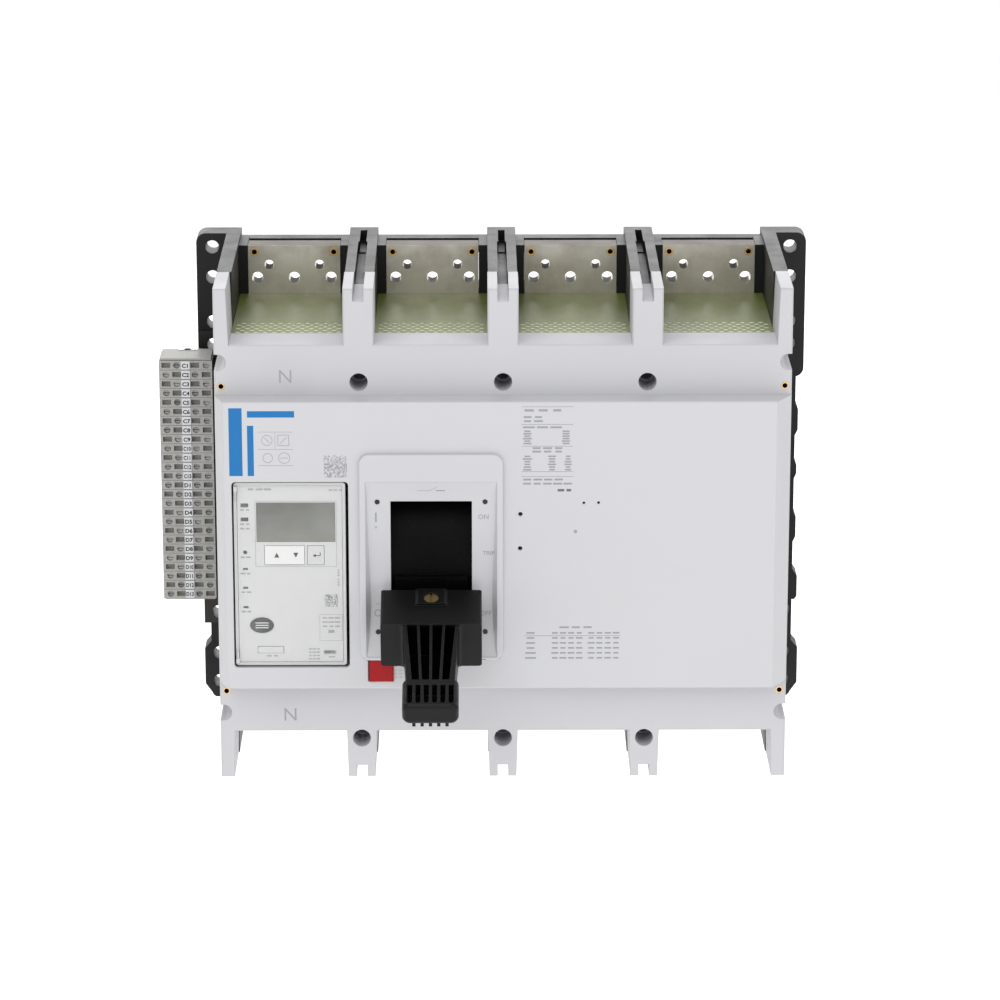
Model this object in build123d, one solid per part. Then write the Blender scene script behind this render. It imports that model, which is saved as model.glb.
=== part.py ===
from build123d import *
import math
import os

# Four-pole molded case breaker, millimetres.
# X runs to the right, Y runs back into the panel it is bolted to, Z runs up.
# The mounting face is the plane Y = 0, so everything in front of it has negative Y.
# "Depth" below is the distance in front of the mounting face, that is -Y.

# ---------------------------------------------------------------- driving sizes: case
POLES = 4
PITCH = 114.3                  # from pole to pole
BARRIER = 23.4                 # wall between two poles
HEIGHT = 406.4
PART_DEPTH = 166.0             # parting plane between base and cover
FRONT_DEPTH = 226.0            # the cover's front face
PANEL_RISE = 21.65             # how far the raised front panel stands out
FLANGE_T = 22.9
FLANGE_X = 247.8               # half width of the flange between its ears
EAR_X = 254.0                  # half width across the ears
BACK_WALL = 8.0
FRONT_WALL = 5.0
END_WALL = 8.0                 # wall between a terminal compartment and the arc chamber
LINE_FLOOR = 158.0             # height of the line compartments' floor
LOAD_FLOOR = -164.0            # height of the load compartments' roof
FIT = 0.3                      # clearance round pieces that seat in a pocket
RUN = 0.05                     # radial clearance of a running fit

# ---------------------------------------------------------------- driving sizes: fixings
BORE_R = 5.5                   # the mounting bolts' bores
BORE_HEAD_R = 7.15             # their counterbores in the cover
BORE_HEAD_DEPTH = 30.0
BORE_TOP_Z = 127.6
BORE_BOTTOM_Z = -170.1
GROOVE_R = 6.5                 # half round bolt grooves in the sides
GROOVE_X_INSET = 2.9
GROOVE_Z = (143.6, -148.0)
FLANGE_HOLE_R = 5.6
FLANGE_HOLE_X = 240.7
FLANGE_HOLE_Z = (191.6, 166.0, 127.7, 108.5, -125.9, -163.5, -188.6)
INSERT_R = 3.0                 # brass inserts in the cover's corners
INSERT_BORE_R = 2.0
INSERT_X = 223.2
INSERT_Z = (124.3, -129.6)
COVER_SCREW_R = 3.0
COVER_SCREW_HEAD_R = 5.0
COVER_SCREW_HEAD_T = 4.6
COVER_SCREW_Z = (96.0, -106.0)
COVER_SCREW_END = 128.0

# ---------------------------------------------------------------- driving sizes: main circuit
PLATE_W = 76.2                 # terminal plates
PLATE_BACK = 31.0
PLATE_FRONT = 50.0
PLATE_END_GAP = 4.3            # from the plate's end to the end of the case
BAR_W = 60.0                   # the same conductors inside the case
LINE_BAR_END = 88.0
LOAD_BAR_END = -34.0
SCREEN_T = 3.0                 # perforated vent screens
SCREEN_FRONT = 187.0
GAS_HOLE_R = 2.4
GAS_HOLE_PITCH = 7.3           # along a row
GAS_ROW_PITCH = 6.0            # from row to row
GAS_ROWS = 6
GAS_HOLES = 12                 # in the longer rows
PAD_T = 4.0                    # contact pads
PAD_Z = 106.0
PAD_H = 20.0
SHAFT_DEPTH = 84.0             # crossbar axis
SHAFT_Z = -12.0
SHAFT_R = 12.0
OPEN_ANGLE = 32.0              # how far the contact fingers swing open
FINGERS = 4
FINGER_W = 8.0
FINGER_PITCH = 10.0
FINGER_HUB_R = 18.0
CONTACT_GAP = 0.3              # left between the pads when closed
GRIDS = 12
GRID_PITCH = 7.6
GRID_T = 2.0

# ---------------------------------------------------------------- driving sizes: handle
HANDLE_X = -57.15
PIVOT_DEPTH = 165.0
PIVOT_Z = -18.9
HANDLE_TILT = 22.0             # below level when OFF
HANDLE_ON = 13.0               # above level when ON
WINDOW_W = 64.5
WINDOW_TOP = 36.2
WINDOW_BOTTOM = -73.9
TRACK_T = 2.5                  # wall of the sunk handle track
SHIELD_R = 77.0
SHIELD_T = 2.0
SHIELD_W = 70.0
SADDLE_W = 57.0                # raised saddle on the shield round the lever
SADDLE_R = 81.5
SADDLE_ANGLE = 16.0
SHIELD_SPARE = 2.0             # degrees of shield beyond the window's edges
PIN_R = 4.95
BLOCK_W = 80.0                 # the handle extension's body
BLOCK_H = 43.0
BLOCK_START = 89.1             # from the pivot, along the handle
BLOCK_LENGTH = 47.0
NECK_LENGTH = 65.5
NECK_W0 = 43.0                 # outside, at the block and at the knob
NECK_W1 = 37.4
CHANNEL_W0 = 39.4              # across the open channels, at the same two places
CHANNEL_W1 = 29.0
KNOB_W = 43.8
KNOB_LENGTH = 32.5
KNOB_H = 20.0

# ---------------------------------------------------------------- driving sizes: front panel
PANEL_TOP = 117.0
PANEL_BOTTOM = -120.8
PANEL_LEFT = -221.0
PANEL_RIGHT = 216.0
PANEL_WALL = 4.0
PAD_RISE = 4.0                 # escutcheon above the panel
PAD_HALF_W = 57.0
PAD_TOP = 74.9
PAD_BOTTOM = -95.8
TRACK_HALF_W = 52.2
TRACK_SINK = 7.7               # deepest point of the track below the pad's face
TRACK_DRAFT = 0.47             # how far its side walls lean in, for each mm of depth
TRACK_SHAPE = (                # (share of the way down, share of the full depth)
    (0.0, 0.02), (0.05, 0.2), (0.2, 0.36), (0.45, 0.7), (0.72, 1.0), (0.88, 0.66), (1.0, 0.05))
TRACK_TOP = 52.5
TRACK_END = -93.0
BUTTON_X = -97.75
BUTTON_Z = -105.2
BUTTON_W = 19.3
BUTTON_H = 18.0
TRIP_BAR_DEPTH = 200.0
TRIP_BAR_Z = -118.5
TRIP_BAR_R = 4.0

# ---------------------------------------------------------------- driving sizes: trip unit
UNIT_LEFT = -213.9
UNIT_RIGHT = -125.2
UNIT_TOP = 50.5
UNIT_BOTTOM = -101.5
UNIT_BACK = 178.0
UNIT_RIM = 245.0
UNIT_WALL = 2.5
FASCIA_T = 2.5
LCD_X = (-195.8, -133.6)
LCD_Z = (1.6, 33.8)
ARROW_X = (-189.7, -158.2)
ARROW_Z = (-17.2, -1.8)
ENTER_X = (-155.6, -142.6)
LED_X = -205.3
LAMP_W = 5.4                   # the two status lamps
LAMP_H = 2.6
LAMP_Z = (31.7, 20.1)
RESET_Z = -7.2                 # the recessed reset button
RESET_R = 1.3
LED_W = 3.4                    # the small lamps under it
LED_H = 1.1
LED_Z = (-21.0, -36.7, -52.9)
TRAY_X = (-196.2, -175.8)
TRAY_Z = (-91.2, -85.9)
USB_X = (-143.4, -134.2)
USB_Z = (-91.9, -89.3)
LID_T = 1.6                    # hinged clear cover

# ---------------------------------------------------------------- driving sizes: terminal strip
WAYS_PER_BLOCK = 13
WAY_PITCH = 7.89
STRIP_LEFT = -283.0
STRIP_RIGHT = -239.0
STRIP_BACK = 48.0
STRIP_FRONT = 82.0
STRIP_TOP = 108.9
STRIP_SCREW_X = (-277.1, -268.3, -253.2, -244.0)
LABEL_X = (-264.6, -257.4)
RAIL_X = -261.0
RAIL_W = 15.0
RAIL_H = 5.5
LEAD_R = 0.9

# ---------------------------------------------------------------- worked out from those
HALF_W = POLES * PITCH / 2
HALF_H = HEIGHT / 2
CELL = (PITCH - BARRIER) / 2                   # half width of a pole's chamber
POLE_X = [(i - (POLES - 1) / 2) * PITCH for i in range(POLES)]
WALL_X = [(i - POLES / 2) * PITCH for i in range(1, POLES)]
PANEL_DEPTH = FRONT_DEPTH + PANEL_RISE
PAD_DEPTH = PANEL_DEPTH + PAD_RISE
WINDOW_Z = (WINDOW_BOTTOM, WINDOW_TOP)


# ---------------------------------------------------------------- small helpers
def block(x, depth, z):
    """A box between two values of X, of depth and of Z."""
    size = (abs(x[1] - x[0]), abs(depth[1] - depth[0]), abs(z[1] - z[0]))
    centre = (sum(x) / 2, -sum(depth) / 2, sum(z) / 2)
    return Pos(*centre) * Box(*size)


def rod_x(x, depth, z, radius):
    """A cylinder along X."""
    return Pos(sum(x) / 2, -depth, z) * Rot(0, 90, 0) * Cylinder(radius, abs(x[1] - x[0]))


def rod_y(x, depth, z, radius):
    """A cylinder along Y, between two depths."""
    return Pos(x, -sum(depth) / 2, z) * Rot(90, 0, 0) * Cylinder(radius, abs(depth[1] - depth[0]))


def rod_z(x, depth, z, radius):
    """A cylinder along Z."""
    return Pos(x, -depth, sum(z) / 2) * Cylinder(radius, abs(z[1] - z[0]))


def prism_x(points, x):
    """An outline of (depth, z) points, extruded between two values of X."""
    face = Plane.YZ.offset(x[0]) * Polygon(*[(-d, z) for d, z in points], align=None)
    return extrude(face, amount=x[1] - x[0], dir=(1, 0, 0))


def prism_y(points, depth):
    """An outline of (x, z) points, extruded between two depths."""
    face = Plane.XZ.offset(depth[0]) * Polygon(*points, align=None)
    return extrude(face, amount=depth[1] - depth[0], dir=(0, -1, 0))


def prism_z(points, z):
    """An outline of (x, depth) points, extruded between two heights."""
    face = Plane.XY.offset(z[0]) * Polygon(*[(x, -d) for x, d in points], align=None)
    return extrude(face, amount=z[1] - z[0], dir=(0, 0, 1))


def rounded(x, depth, z, radius):
    """A box whose four edges along Y are rounded."""
    return fillet(block(x, depth, z).edges().filter_by(Axis.Y), radius)


def mirrored(make):
    """A piece and its mirror image about the plane X = 0."""
    return make + mirror(make, Plane.YZ)


def turned(shape, depth, z, angle):
    """Turn a shape about an axis along X; a positive angle tips the front down."""
    return Pos(0, -depth, z) * Rot(angle, 0, 0) * Pos(0, depth, -z) * shape


def around(centre, half):
    """The pair centre - half, centre + half."""
    return centre - half, centre + half


# ---------------------------------------------------------------- base
def flange():
    """The flange that lies on the panel, with its ears, lugs and holes."""
    plate = block((-FLANGE_X, FLANGE_X), (0, FLANGE_T), (-HALF_H, HALF_H))
    plate = fillet(plate.edges().filter_by(Axis.Y), 5)
    ear_top = rounded((HALF_W, EAR_X), (0, FLANGE_T), (79.3, HALF_H), 8)
    ear_low = prism_y([(HALF_W, -HALF_H), (EAR_X - 9, -HALF_H), (EAR_X - 0.5, -HALF_H + 12),
                       (EAR_X - 0.5, -160), (FLANGE_X - 2, -150.7), (HALF_W, -150.7)], (0, FLANGE_T))
    lug_low = prism_y([(HALF_W, -116.7), (EAR_X - 4, -116.7), (EAR_X - 2, -114),
                       (EAR_X - 2, -96), (FLANGE_X - 1, -88), (HALF_W, -88)], (0, FLANGE_T))
    side = ear_top + ear_low + lug_low
    for low, high, reach in ((27, 57, 2.4), (-11, 8, 2.0), (-66.7, -37.5, 2.2)):
        edge = FLANGE_X + reach
        side += prism_y([(HALF_W, low), (FLANGE_X - 0.5, low), (edge, low + 6),
                         (edge, high - 6), (FLANGE_X - 0.5, high), (HALF_W, high)], (0, FLANGE_T))
    plate += mirrored(side)
    for x in (-FLANGE_HOLE_X, FLANGE_HOLE_X):
        for z in FLANGE_HOLE_Z:
            plate -= rod_y(x, (0, FLANGE_T), z, FLANGE_HOLE_R)
    return plate


def compartment(x, depth, line_side):
    """The open space in front of a terminal plate."""
    z = (LINE_FLOOR, HALF_H) if line_side else (-HALF_H, LOAD_FLOOR)
    return block(around(x, CELL), depth, z)


def barrier_slots(depth, width, height):
    """The slots in the barriers' ends that take interphase barriers."""
    slots = [block(around(x, width / 2), depth, z)
             for x in WALL_X
             for z in ((HALF_H - height, HALF_H), (-HALF_H, -HALF_H + height))]
    return Part() + slots


def bolt_bores(radius, depth):
    """The bores of the six mounting bolts."""
    return Part() + [rod_y(x, depth, z, radius) for x in WALL_X for z in (BORE_TOP_Z, BORE_BOTTOM_Z)]


def side_grooves(depth):
    """The half round bolt grooves in the two sides."""
    x = HALF_W - GROOVE_X_INSET
    grooves = Part()
    for z in GROOVE_Z:
        grooves += rod_y(x, depth, z, GROOVE_R) + block((x, HALF_W + 1), depth, around(z, GROOVE_R))
    return mirrored(grooves)


def cover_screw_bores(radius, depth):
    """Bores for the screws that hold the cover on the base."""
    return Part() + [rod_y(x, depth, z, radius) for x in WALL_X for z in COVER_SCREW_Z]


def base():
    """The black base: flange, back wall, pole chambers and terminal compartments."""
    case = block((-HALF_W, HALF_W), (0, PART_DEPTH), (-HALF_H, HALF_H)) + flange()
    for x in POLE_X:
        case -= block(around(x, CELL), (BACK_WALL, PART_DEPTH),
                      (LOAD_FLOOR + END_WALL, LINE_FLOOR - END_WALL))
        case -= compartment(x, (0, PART_DEPTH), True) + compartment(x, (0, PART_DEPTH), False)
        case += terminal_guides(x)
        case -= screen_seats(x, PART_DEPTH)
        case -= block(around(x, PLATE_W / 2 + FIT), (PLATE_BACK - FIT, PLATE_FRONT + FIT),
                      (LOAD_FLOOR, LINE_FLOOR))
    for x in WALL_X:
        half = SHAFT_R + 3
        case -= block(around(x, BARRIER / 2), (SHAFT_DEPTH - half, PART_DEPTH), around(SHAFT_Z, half))
    case -= barrier_slots((12, 55), 5.6, 9) + barrier_slots((55, PART_DEPTH), 7.5, 10)
    case -= bolt_bores(BORE_R, (0, PART_DEPTH)) + side_grooves((0, PART_DEPTH))
    case -= cover_screw_bores(COVER_SCREW_R, (COVER_SCREW_END - 2, PART_DEPTH))
    return case


def terminal_guides(x):
    """Ribs beside the terminal plates and the ties across the back of the compartments."""
    ribs = Part()
    inner = PLATE_W / 2 + FIT
    for side in (-1, 1):
        span = sorted((x + side * inner, x + side * CELL))
        ribs += block(span, (14, PLATE_FRONT), (LINE_FLOOR, HALF_H - PLATE_END_GAP))
        ribs += block(span, (14, PLATE_FRONT), (-HALF_H + PLATE_END_GAP, LOAD_FLOOR))
    ribs += block(around(x, CELL), (0, 14), (HALF_H - 18.3, HALF_H - 6.3))
    ribs += block(around(x, CELL), (0, 14), (-HALF_H + 6.3, -HALF_H + 18.3))
    return ribs


def screen_seats(x, front):
    """Rebates for the vent screens, and the vent openings under them."""
    half = CELL
    seats = block(around(x, half), (PLATE_FRONT, SCREEN_FRONT), (LINE_FLOOR - SCREEN_T, LINE_FLOOR))
    seats += block(around(x, half), (PLATE_FRONT, SCREEN_FRONT), (LOAD_FLOOR, LOAD_FLOOR + SCREEN_T))
    vent = block(around(x, half - 8), (PLATE_FRONT + 12, front - 8), (LINE_FLOOR - END_WALL, LINE_FLOOR))
    vent += block(around(x, half - 8), (PLATE_FRONT + 12, front - 8), (LOAD_FLOOR, LOAD_FLOOR + END_WALL))
    return seats + vent


# ---------------------------------------------------------------- cover
def cover_arms():
    """Walls of the cover beside the terminal compartments, top and bottom."""
    depth = (PART_DEPTH, FRONT_DEPTH)
    arms = Part()
    for x in WALL_X:
        arms += block(around(x, BARRIER / 2 + 0.5), depth, (LINE_FLOOR, HALF_H))
        arms += prism_y([(x - 12, LOAD_FLOOR), (x - 10.9, -HALF_H), (x + 10.9, -HALF_H),
                         (x + 12, LOAD_FLOOR)], depth)
    side = BARRIER / 2
    outer = prism_y([(HALF_W - side, LINE_FLOOR), (HALF_W - side + 1.5, HALF_H), (HALF_W, HALF_H),
                     (HALF_W, LINE_FLOOR)], depth)
    outer += prism_y([(HALF_W - side, LOAD_FLOOR), (HALF_W - side + 0.8, -HALF_H),
                      (HALF_W, -HALF_H), (HALF_W, LOAD_FLOOR)], depth)
    return arms + mirrored(outer)


def cover():
    """The light grey cover over the arc chambers, with its walls and pockets."""
    case = block((-HALF_W, HALF_W), (PART_DEPTH, FRONT_DEPTH), (LOAD_FLOOR, LINE_FLOOR)) + cover_arms()
    rims = [e for e in case.edges().filter_by(Axis.X) if abs(e.center().Y + FRONT_DEPTH) < 0.1]
    rims += [e for e in case.edges().filter_by(Axis.Z) if abs(e.center().Y + FRONT_DEPTH) < 0.1]
    case = chamfer(rims, 1.0)
    for x in POLE_X:
        case -= block(around(x, CELL), (PART_DEPTH, FRONT_DEPTH - FRONT_WALL),
                      (LOAD_FLOOR + END_WALL, LINE_FLOOR - END_WALL))
        case -= block(around(x, CELL), (PART_DEPTH, SCREEN_FRONT), (LINE_FLOOR - SCREEN_T, LINE_FLOOR))
        case -= block(around(x, CELL), (PART_DEPTH, SCREEN_FRONT), (LOAD_FLOOR, LOAD_FLOOR + SCREEN_T))
        case -= block(around(x, CELL - 8), (PART_DEPTH, SCREEN_FRONT - 8),
                      (LOAD_FLOOR, LINE_FLOOR))
    case -= barrier_slots((PART_DEPTH, FRONT_DEPTH), 8.6, 10)
    case -= bolt_bores(BORE_R, (PART_DEPTH, FRONT_DEPTH))
    case -= bolt_bores(BORE_HEAD_R, (FRONT_DEPTH - BORE_HEAD_DEPTH, FRONT_DEPTH))
    case -= side_grooves((PART_DEPTH, FRONT_DEPTH))
    case -= cover_screw_bores(COVER_SCREW_R + FIT, (PART_DEPTH, FRONT_DEPTH))
    seat = FRONT_DEPTH - COVER_SCREW_HEAD_T - FIT
    case -= cover_screw_bores(COVER_SCREW_HEAD_R + FIT, (seat, FRONT_DEPTH))
    case -= unit_pocket((UNIT_BACK - 4, FRONT_DEPTH))
    case -= shield_opening()
    case -= rod_y(BUTTON_X, (FRONT_DEPTH - FRONT_WALL, FRONT_DEPTH), BUTTON_Z, 3.4)
    case -= rod_x((HANDLE_X - CELL - 4, HANDLE_X + CELL + 4), TRIP_BAR_DEPTH, TRIP_BAR_Z, TRIP_BAR_R + RUN)
    for x in (-INSERT_X, INSERT_X):
        for z in INSERT_Z:
            case -= rod_y(x, (FRONT_DEPTH - 12, FRONT_DEPTH), z, INSERT_R)
    for x, z in escutcheon_screw_places():
        case += rod_y(x, (FRONT_DEPTH - FRONT_WALL, boss_depth(z)), z, 4.2)
        case -= rod_y(x, (FRONT_DEPTH - FRONT_WALL, PAD_DEPTH), z, 1.5)
    return case


def unit_pocket(depth, gap=2.6):
    """Room for the trip unit."""
    return block((UNIT_LEFT - gap, UNIT_RIGHT + gap), depth, (UNIT_BOTTOM - gap, UNIT_TOP + gap))


def shield_opening():
    """The opening that the handle's curved shield swings through."""
    reach = math.sqrt((SHIELD_R + 2) ** 2 - (FRONT_DEPTH - FRONT_WALL - PIVOT_DEPTH) ** 2)
    return block(around(HANDLE_X, SHIELD_W / 2 + 1.5), (FRONT_DEPTH - FRONT_WALL, FRONT_DEPTH),
                 around(PIVOT_Z, reach))


def brass_inserts():
    """Threaded brass inserts in the corners of the cover."""
    sleeve = Part()
    for x in (-INSERT_X, INSERT_X):
        for z in INSERT_Z:
            sleeve += rod_y(x, (FRONT_DEPTH - 12, FRONT_DEPTH), z, INSERT_R) \
                - rod_y(x, (FRONT_DEPTH - 10, FRONT_DEPTH), z, INSERT_BORE_R)
    return sleeve


def cover_screws():
    """Socket screws that hold the cover on the base."""
    screws = Part()
    for x in WALL_X:
        for z in COVER_SCREW_Z:
            screw = rod_y(x, (FRONT_DEPTH - COVER_SCREW_HEAD_T, FRONT_DEPTH), z, COVER_SCREW_HEAD_R)
            screw += rod_y(x, (COVER_SCREW_END, FRONT_DEPTH), z, COVER_SCREW_R - RUN)
            screws += screw - rod_y(x, (FRONT_DEPTH - 3, FRONT_DEPTH), z, 2.3)
    return screws


# ---------------------------------------------------------------- front panel and escutcheon
def front_panel():
    """The raised panel: a shallow lid with sloped sides and its openings."""
    low, high = PANEL_BOTTOM, PANEL_TOP
    lid = prism_z([(-HALF_W, FRONT_DEPTH), (PANEL_LEFT, PANEL_DEPTH), (PANEL_RIGHT, PANEL_DEPTH),
                   (HALF_W, FRONT_DEPTH)], (low, high))
    front = lid.edges().filter_by(lambda e: abs(e.center().Y + PANEL_DEPTH) < 0.1)
    lid = fillet(front, 1.5)
    skin = PANEL_DEPTH - PANEL_WALL
    lid -= prism_z([(-HALF_W + 5, FRONT_DEPTH), (PANEL_LEFT + PANEL_WALL, skin),
                    (PANEL_RIGHT - PANEL_WALL, skin), (HALF_W - 6, FRONT_DEPTH)],
                   (low + PANEL_WALL, high - PANEL_WALL))
    gap = 1.2
    lid -= rounded((UNIT_LEFT - gap, UNIT_RIGHT + 2 * gap), (skin, PANEL_DEPTH),
                   (UNIT_BOTTOM - gap, UNIT_TOP + gap), 3)
    lid -= block(around(HANDLE_X, TRACK_HALF_W + 2 + FIT), (skin, PANEL_DEPTH),
                 (TRACK_END - 2 - FIT, TRACK_TOP + 2 + FIT))
    lid -= block((BUTTON_X - BUTTON_W / 2 - 0.8, BUTTON_X + BUTTON_W / 2 + 0.25), (skin, PANEL_DEPTH),
                 around(BUTTON_Z, BUTTON_H / 2 + 0.25))
    for x, z, radius in ((13.6, 24.9, 1.75), (13.4, -3.4, 1.75), (63.9, 34.1, 1.1), (75.5, 34.3, 1.1)):
        lid -= rod_y(x, (skin, PANEL_DEPTH), z, radius)
    return lid


def track_depth(share):
    """Depth of the handle track's floor where it is that share of its full depth."""
    return PAD_DEPTH - TRACK_SINK * share


def track_region(back, front, x):
    """The solid between the track's curved floor, moved back, and a plane in front of it."""
    line = [Vector(x[0], back - track_depth(deep), TRACK_TOP - down * (TRACK_TOP - TRACK_END))
            for down, deep in TRACK_SHAPE]
    rest = Polyline(line[-1], (x[0], -front, TRACK_END), (x[0], -front, TRACK_TOP), line[0])
    return extrude(make_face(Curve() + [Spline(*line), rest]), amount=x[1] - x[0], dir=(1, 0, 0))


def escutcheon():
    """The plate round the handle: a raised pad with a sunk curved track and the window."""
    pad = rounded(around(HANDLE_X, PAD_HALF_W), (PANEL_DEPTH, PAD_DEPTH), (PAD_BOTTOM, PAD_TOP), 8)
    front = pad.faces().sort_by(Axis.Y)[0].edges()
    pad = fillet(front, 1.2)
    tub = track_region(TRACK_T, PAD_DEPTH - 1, around(HANDLE_X, TRACK_HALF_W + 2))
    low = PAD_DEPTH - 2 * TRACK_SINK
    high = PAD_DEPTH + 1
    narrow = TRACK_HALF_W - TRACK_DRAFT * 2 * TRACK_SINK
    walls = prism_z([(HANDLE_X - narrow, low), (HANDLE_X - TRACK_HALF_W, PAD_DEPTH),
                     (HANDLE_X - TRACK_HALF_W, high), (HANDLE_X + TRACK_HALF_W, high),
                     (HANDLE_X + TRACK_HALF_W, PAD_DEPTH), (HANDLE_X + narrow, low)], (PAD_BOTTOM, PAD_TOP))
    sunk = track_region(0, high, around(HANDLE_X, TRACK_HALF_W + 1))
    plate = pad + tub - (sunk & walls)
    plate -= block(around(HANDLE_X, WINDOW_W / 2), (FRONT_DEPTH - 10, high), WINDOW_Z)
    for x, z in escutcheon_screw_places():
        plate -= rod_y(x, (FRONT_DEPTH - 10, PAD_DEPTH), z, 1.6)
        plate -= rod_y(x, (screw_seat_depth(z), PAD_DEPTH), z, 2.0)
    return plate


def escutcheon_screw_places():
    """Centres of the four screws at the window's corners."""
    return [(HANDLE_X + dx, z) for dx in (-42.75, 42.75) for z in (35.7, -73.3)]


def track_floor(z):
    """Depth of the track's floor at a height, between the two nearest points of its shape."""
    down = (TRACK_TOP - z) / (TRACK_TOP - TRACK_END)
    for (d0, s0), (d1, s1) in zip(TRACK_SHAPE, TRACK_SHAPE[1:]):
        if d0 <= down <= d1:
            return track_depth(s0 + (s1 - s0) * (down - d0) / (d1 - d0))
    return PAD_DEPTH


def screw_seat_depth(z):
    """Depth of the seat of an escutcheon screw's head, sunk in the track's floor."""
    return track_floor(z) - 0.8


def boss_depth(z):
    """Depth of a boss of the cover, just behind the track."""
    return track_floor(z) - TRACK_T - 2 * FIT


def escutcheon_screws():
    """Small screws that hold the escutcheon to the bosses on the cover."""
    screws = Part()
    for x, z in escutcheon_screw_places():
        seat = screw_seat_depth(z)
        screws += rod_y(x, (seat, seat + 0.8), z, 1.85) + rod_y(x, (FRONT_DEPTH - 3, seat), z, 1.45)
    return screws


def trip_button():
    """The red push-to-trip button and its stem."""
    head = block(around(BUTTON_X, BUTTON_W / 2), (240.5, PANEL_DEPTH + 1.6), around(BUTTON_Z, BUTTON_H / 2))
    head += block((BUTTON_X - 11.5, BUTTON_X + 11.5), (240.5, PANEL_DEPTH - PANEL_WALL - FIT),
                  (BUTTON_Z - 11, BUTTON_Z + 10))
    return head + rod_y(BUTTON_X, (trip_tab_front() + FIT, 240.5), BUTTON_Z, 3.0)


def trip_tab_front():
    """Depth of the face that the button's stem pushes."""
    return TRIP_BAR_DEPTH + 3.0


def trip_button_spring():
    """Return spring round the button's stem, drawn as its outer tube."""
    depth = (FRONT_DEPTH, 240.5)
    return rod_y(BUTTON_X, depth, BUTTON_Z, 5.4) - rod_y(BUTTON_X, depth, BUTTON_Z, 4.2)


def trip_bar():
    """The bar that releases the latch when the button is pushed."""
    span = around(HANDLE_X, CELL + 4 - FIT)
    bar = rod_x(span, TRIP_BAR_DEPTH, TRIP_BAR_Z, TRIP_BAR_R)
    bar += block(around(BUTTON_X + 0.6, 4.5), (TRIP_BAR_DEPTH - 1, trip_tab_front()),
                 (TRIP_BAR_Z, BUTTON_Z + 4))
    lever = (TRIP_BAR_DEPTH - 18, TRIP_BAR_DEPTH)
    return bar + block(around(HANDLE_X + 20, 5), lever, around(TRIP_BAR_Z, 1.5))


def trip_actuator():
    """The trip solenoid under the trip bar."""
    coil = rod_x(around(HANDLE_X + 10, 18), TRIP_BAR_DEPTH - 4, TRIP_BAR_Z - 20, 9)
    return coil + rod_x((HANDLE_X + 28, HANDLE_X + 36), TRIP_BAR_DEPTH - 4, TRIP_BAR_Z - 20, 2.5)


# ---------------------------------------------------------------- main circuit
def conductor(x, line_side):
    """A terminal plate and the bar that runs from it into the case."""
    depth = (PLATE_BACK, PLATE_FRONT)
    end = HALF_H - PLATE_END_GAP
    if line_side:
        inner = LINE_FLOOR - END_WALL
        bar = block(around(x, PLATE_W / 2), depth, (inner, end))
        bar += block(around(x, BAR_W / 2), depth, (LINE_BAR_END, inner))
    else:
        inner = LOAD_FLOOR + END_WALL
        bar = block(around(x, PLATE_W / 2), depth, (-end, inner))
        bar += block(around(x, BAR_W / 2), depth, (inner, LOAD_BAR_END))
    side = 1 if line_side else -1
    for dx, z, radius in plate_holes():
        bar -= rod_y(x + dx, (PLATE_BACK, PLATE_FRONT), side * z, radius)
    for dx in (-32.8, 32.8):
        bar -= rod_y(x + dx, (PLATE_FRONT - 10, PLATE_FRONT), side * (end - 5.5), 3.5)
    return bar


def plate_holes():
    """Bolt holes of a terminal plate: sideways place, height from mid case, radius."""
    return ((-20.8, HALF_H - 20.5, 4.0), (20.8, HALF_H - 20.5, 4.0), (-30.4, HALF_H - 31.4, 4.7),
            (0, HALF_H - 31.4, 4.7), (30.4, HALF_H - 31.4, 4.7))


def line_conductors():
    """Line side conductors, one for each pole."""
    return Part() + [conductor(x, True) for x in POLE_X]


def load_conductors():
    """Load side conductors, one for each pole."""
    return Part() + [conductor(x, False) for x in POLE_X]


def terminal_inserts():
    """Brass inserts in the outer corners of the terminal plates."""
    inserts = Part()
    z = HALF_H - PLATE_END_GAP - 5.5
    for x in POLE_X:
        for dx in (-32.8, 32.8):
            for side in (-1, 1):
                sleeve = rod_y(x + dx, (PLATE_FRONT - 10, PLATE_FRONT + 0.5), side * z, 3.45)
                inserts += sleeve - rod_y(x + dx, (PLATE_FRONT - 9, PLATE_FRONT + 0.5), side * z, 2.1)
    return inserts


def vent_screens(low, high):
    """Glass laminate screens over the arc vents, with rows of gas holes."""
    screens = Part()
    for x in POLE_X:
        sheet = block(around(x, CELL - FIT), (PLATE_FRONT + FIT, SCREEN_FRONT - FIT), (low, high))
        holes = []
        for row in range(GAS_ROWS):
            depth = SCREEN_FRONT - GAS_ROW_PITCH * (row + 0.7)
            count = GAS_HOLES - row % 2
            holes += [rod_z(x + (i - (count - 1) / 2) * GAS_HOLE_PITCH, depth, (low, high), GAS_HOLE_R)
                      for i in range(count)]
        screens += sheet - holes
    return screens


def line_vent_screens():
    """Screens over the line side vents."""
    return vent_screens(LINE_FLOOR - SCREEN_T, LINE_FLOOR)


def load_vent_screens():
    """Screens under the load side vents."""
    return vent_screens(LOAD_FLOOR, LOAD_FLOOR + SCREEN_T)


def fixed_contacts():
    """Silver pads on the line bars."""
    return Part() + [block(around(x, 22), (PLATE_FRONT, PLATE_FRONT + PAD_T), around(PAD_Z, PAD_H / 2))
                     for x in POLE_X]


def finger_x(x):
    """Centres of one pole's contact fingers."""
    return [x + (i - (FINGERS - 1) / 2) * FINGER_PITCH for i in range(FINGERS)]


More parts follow.
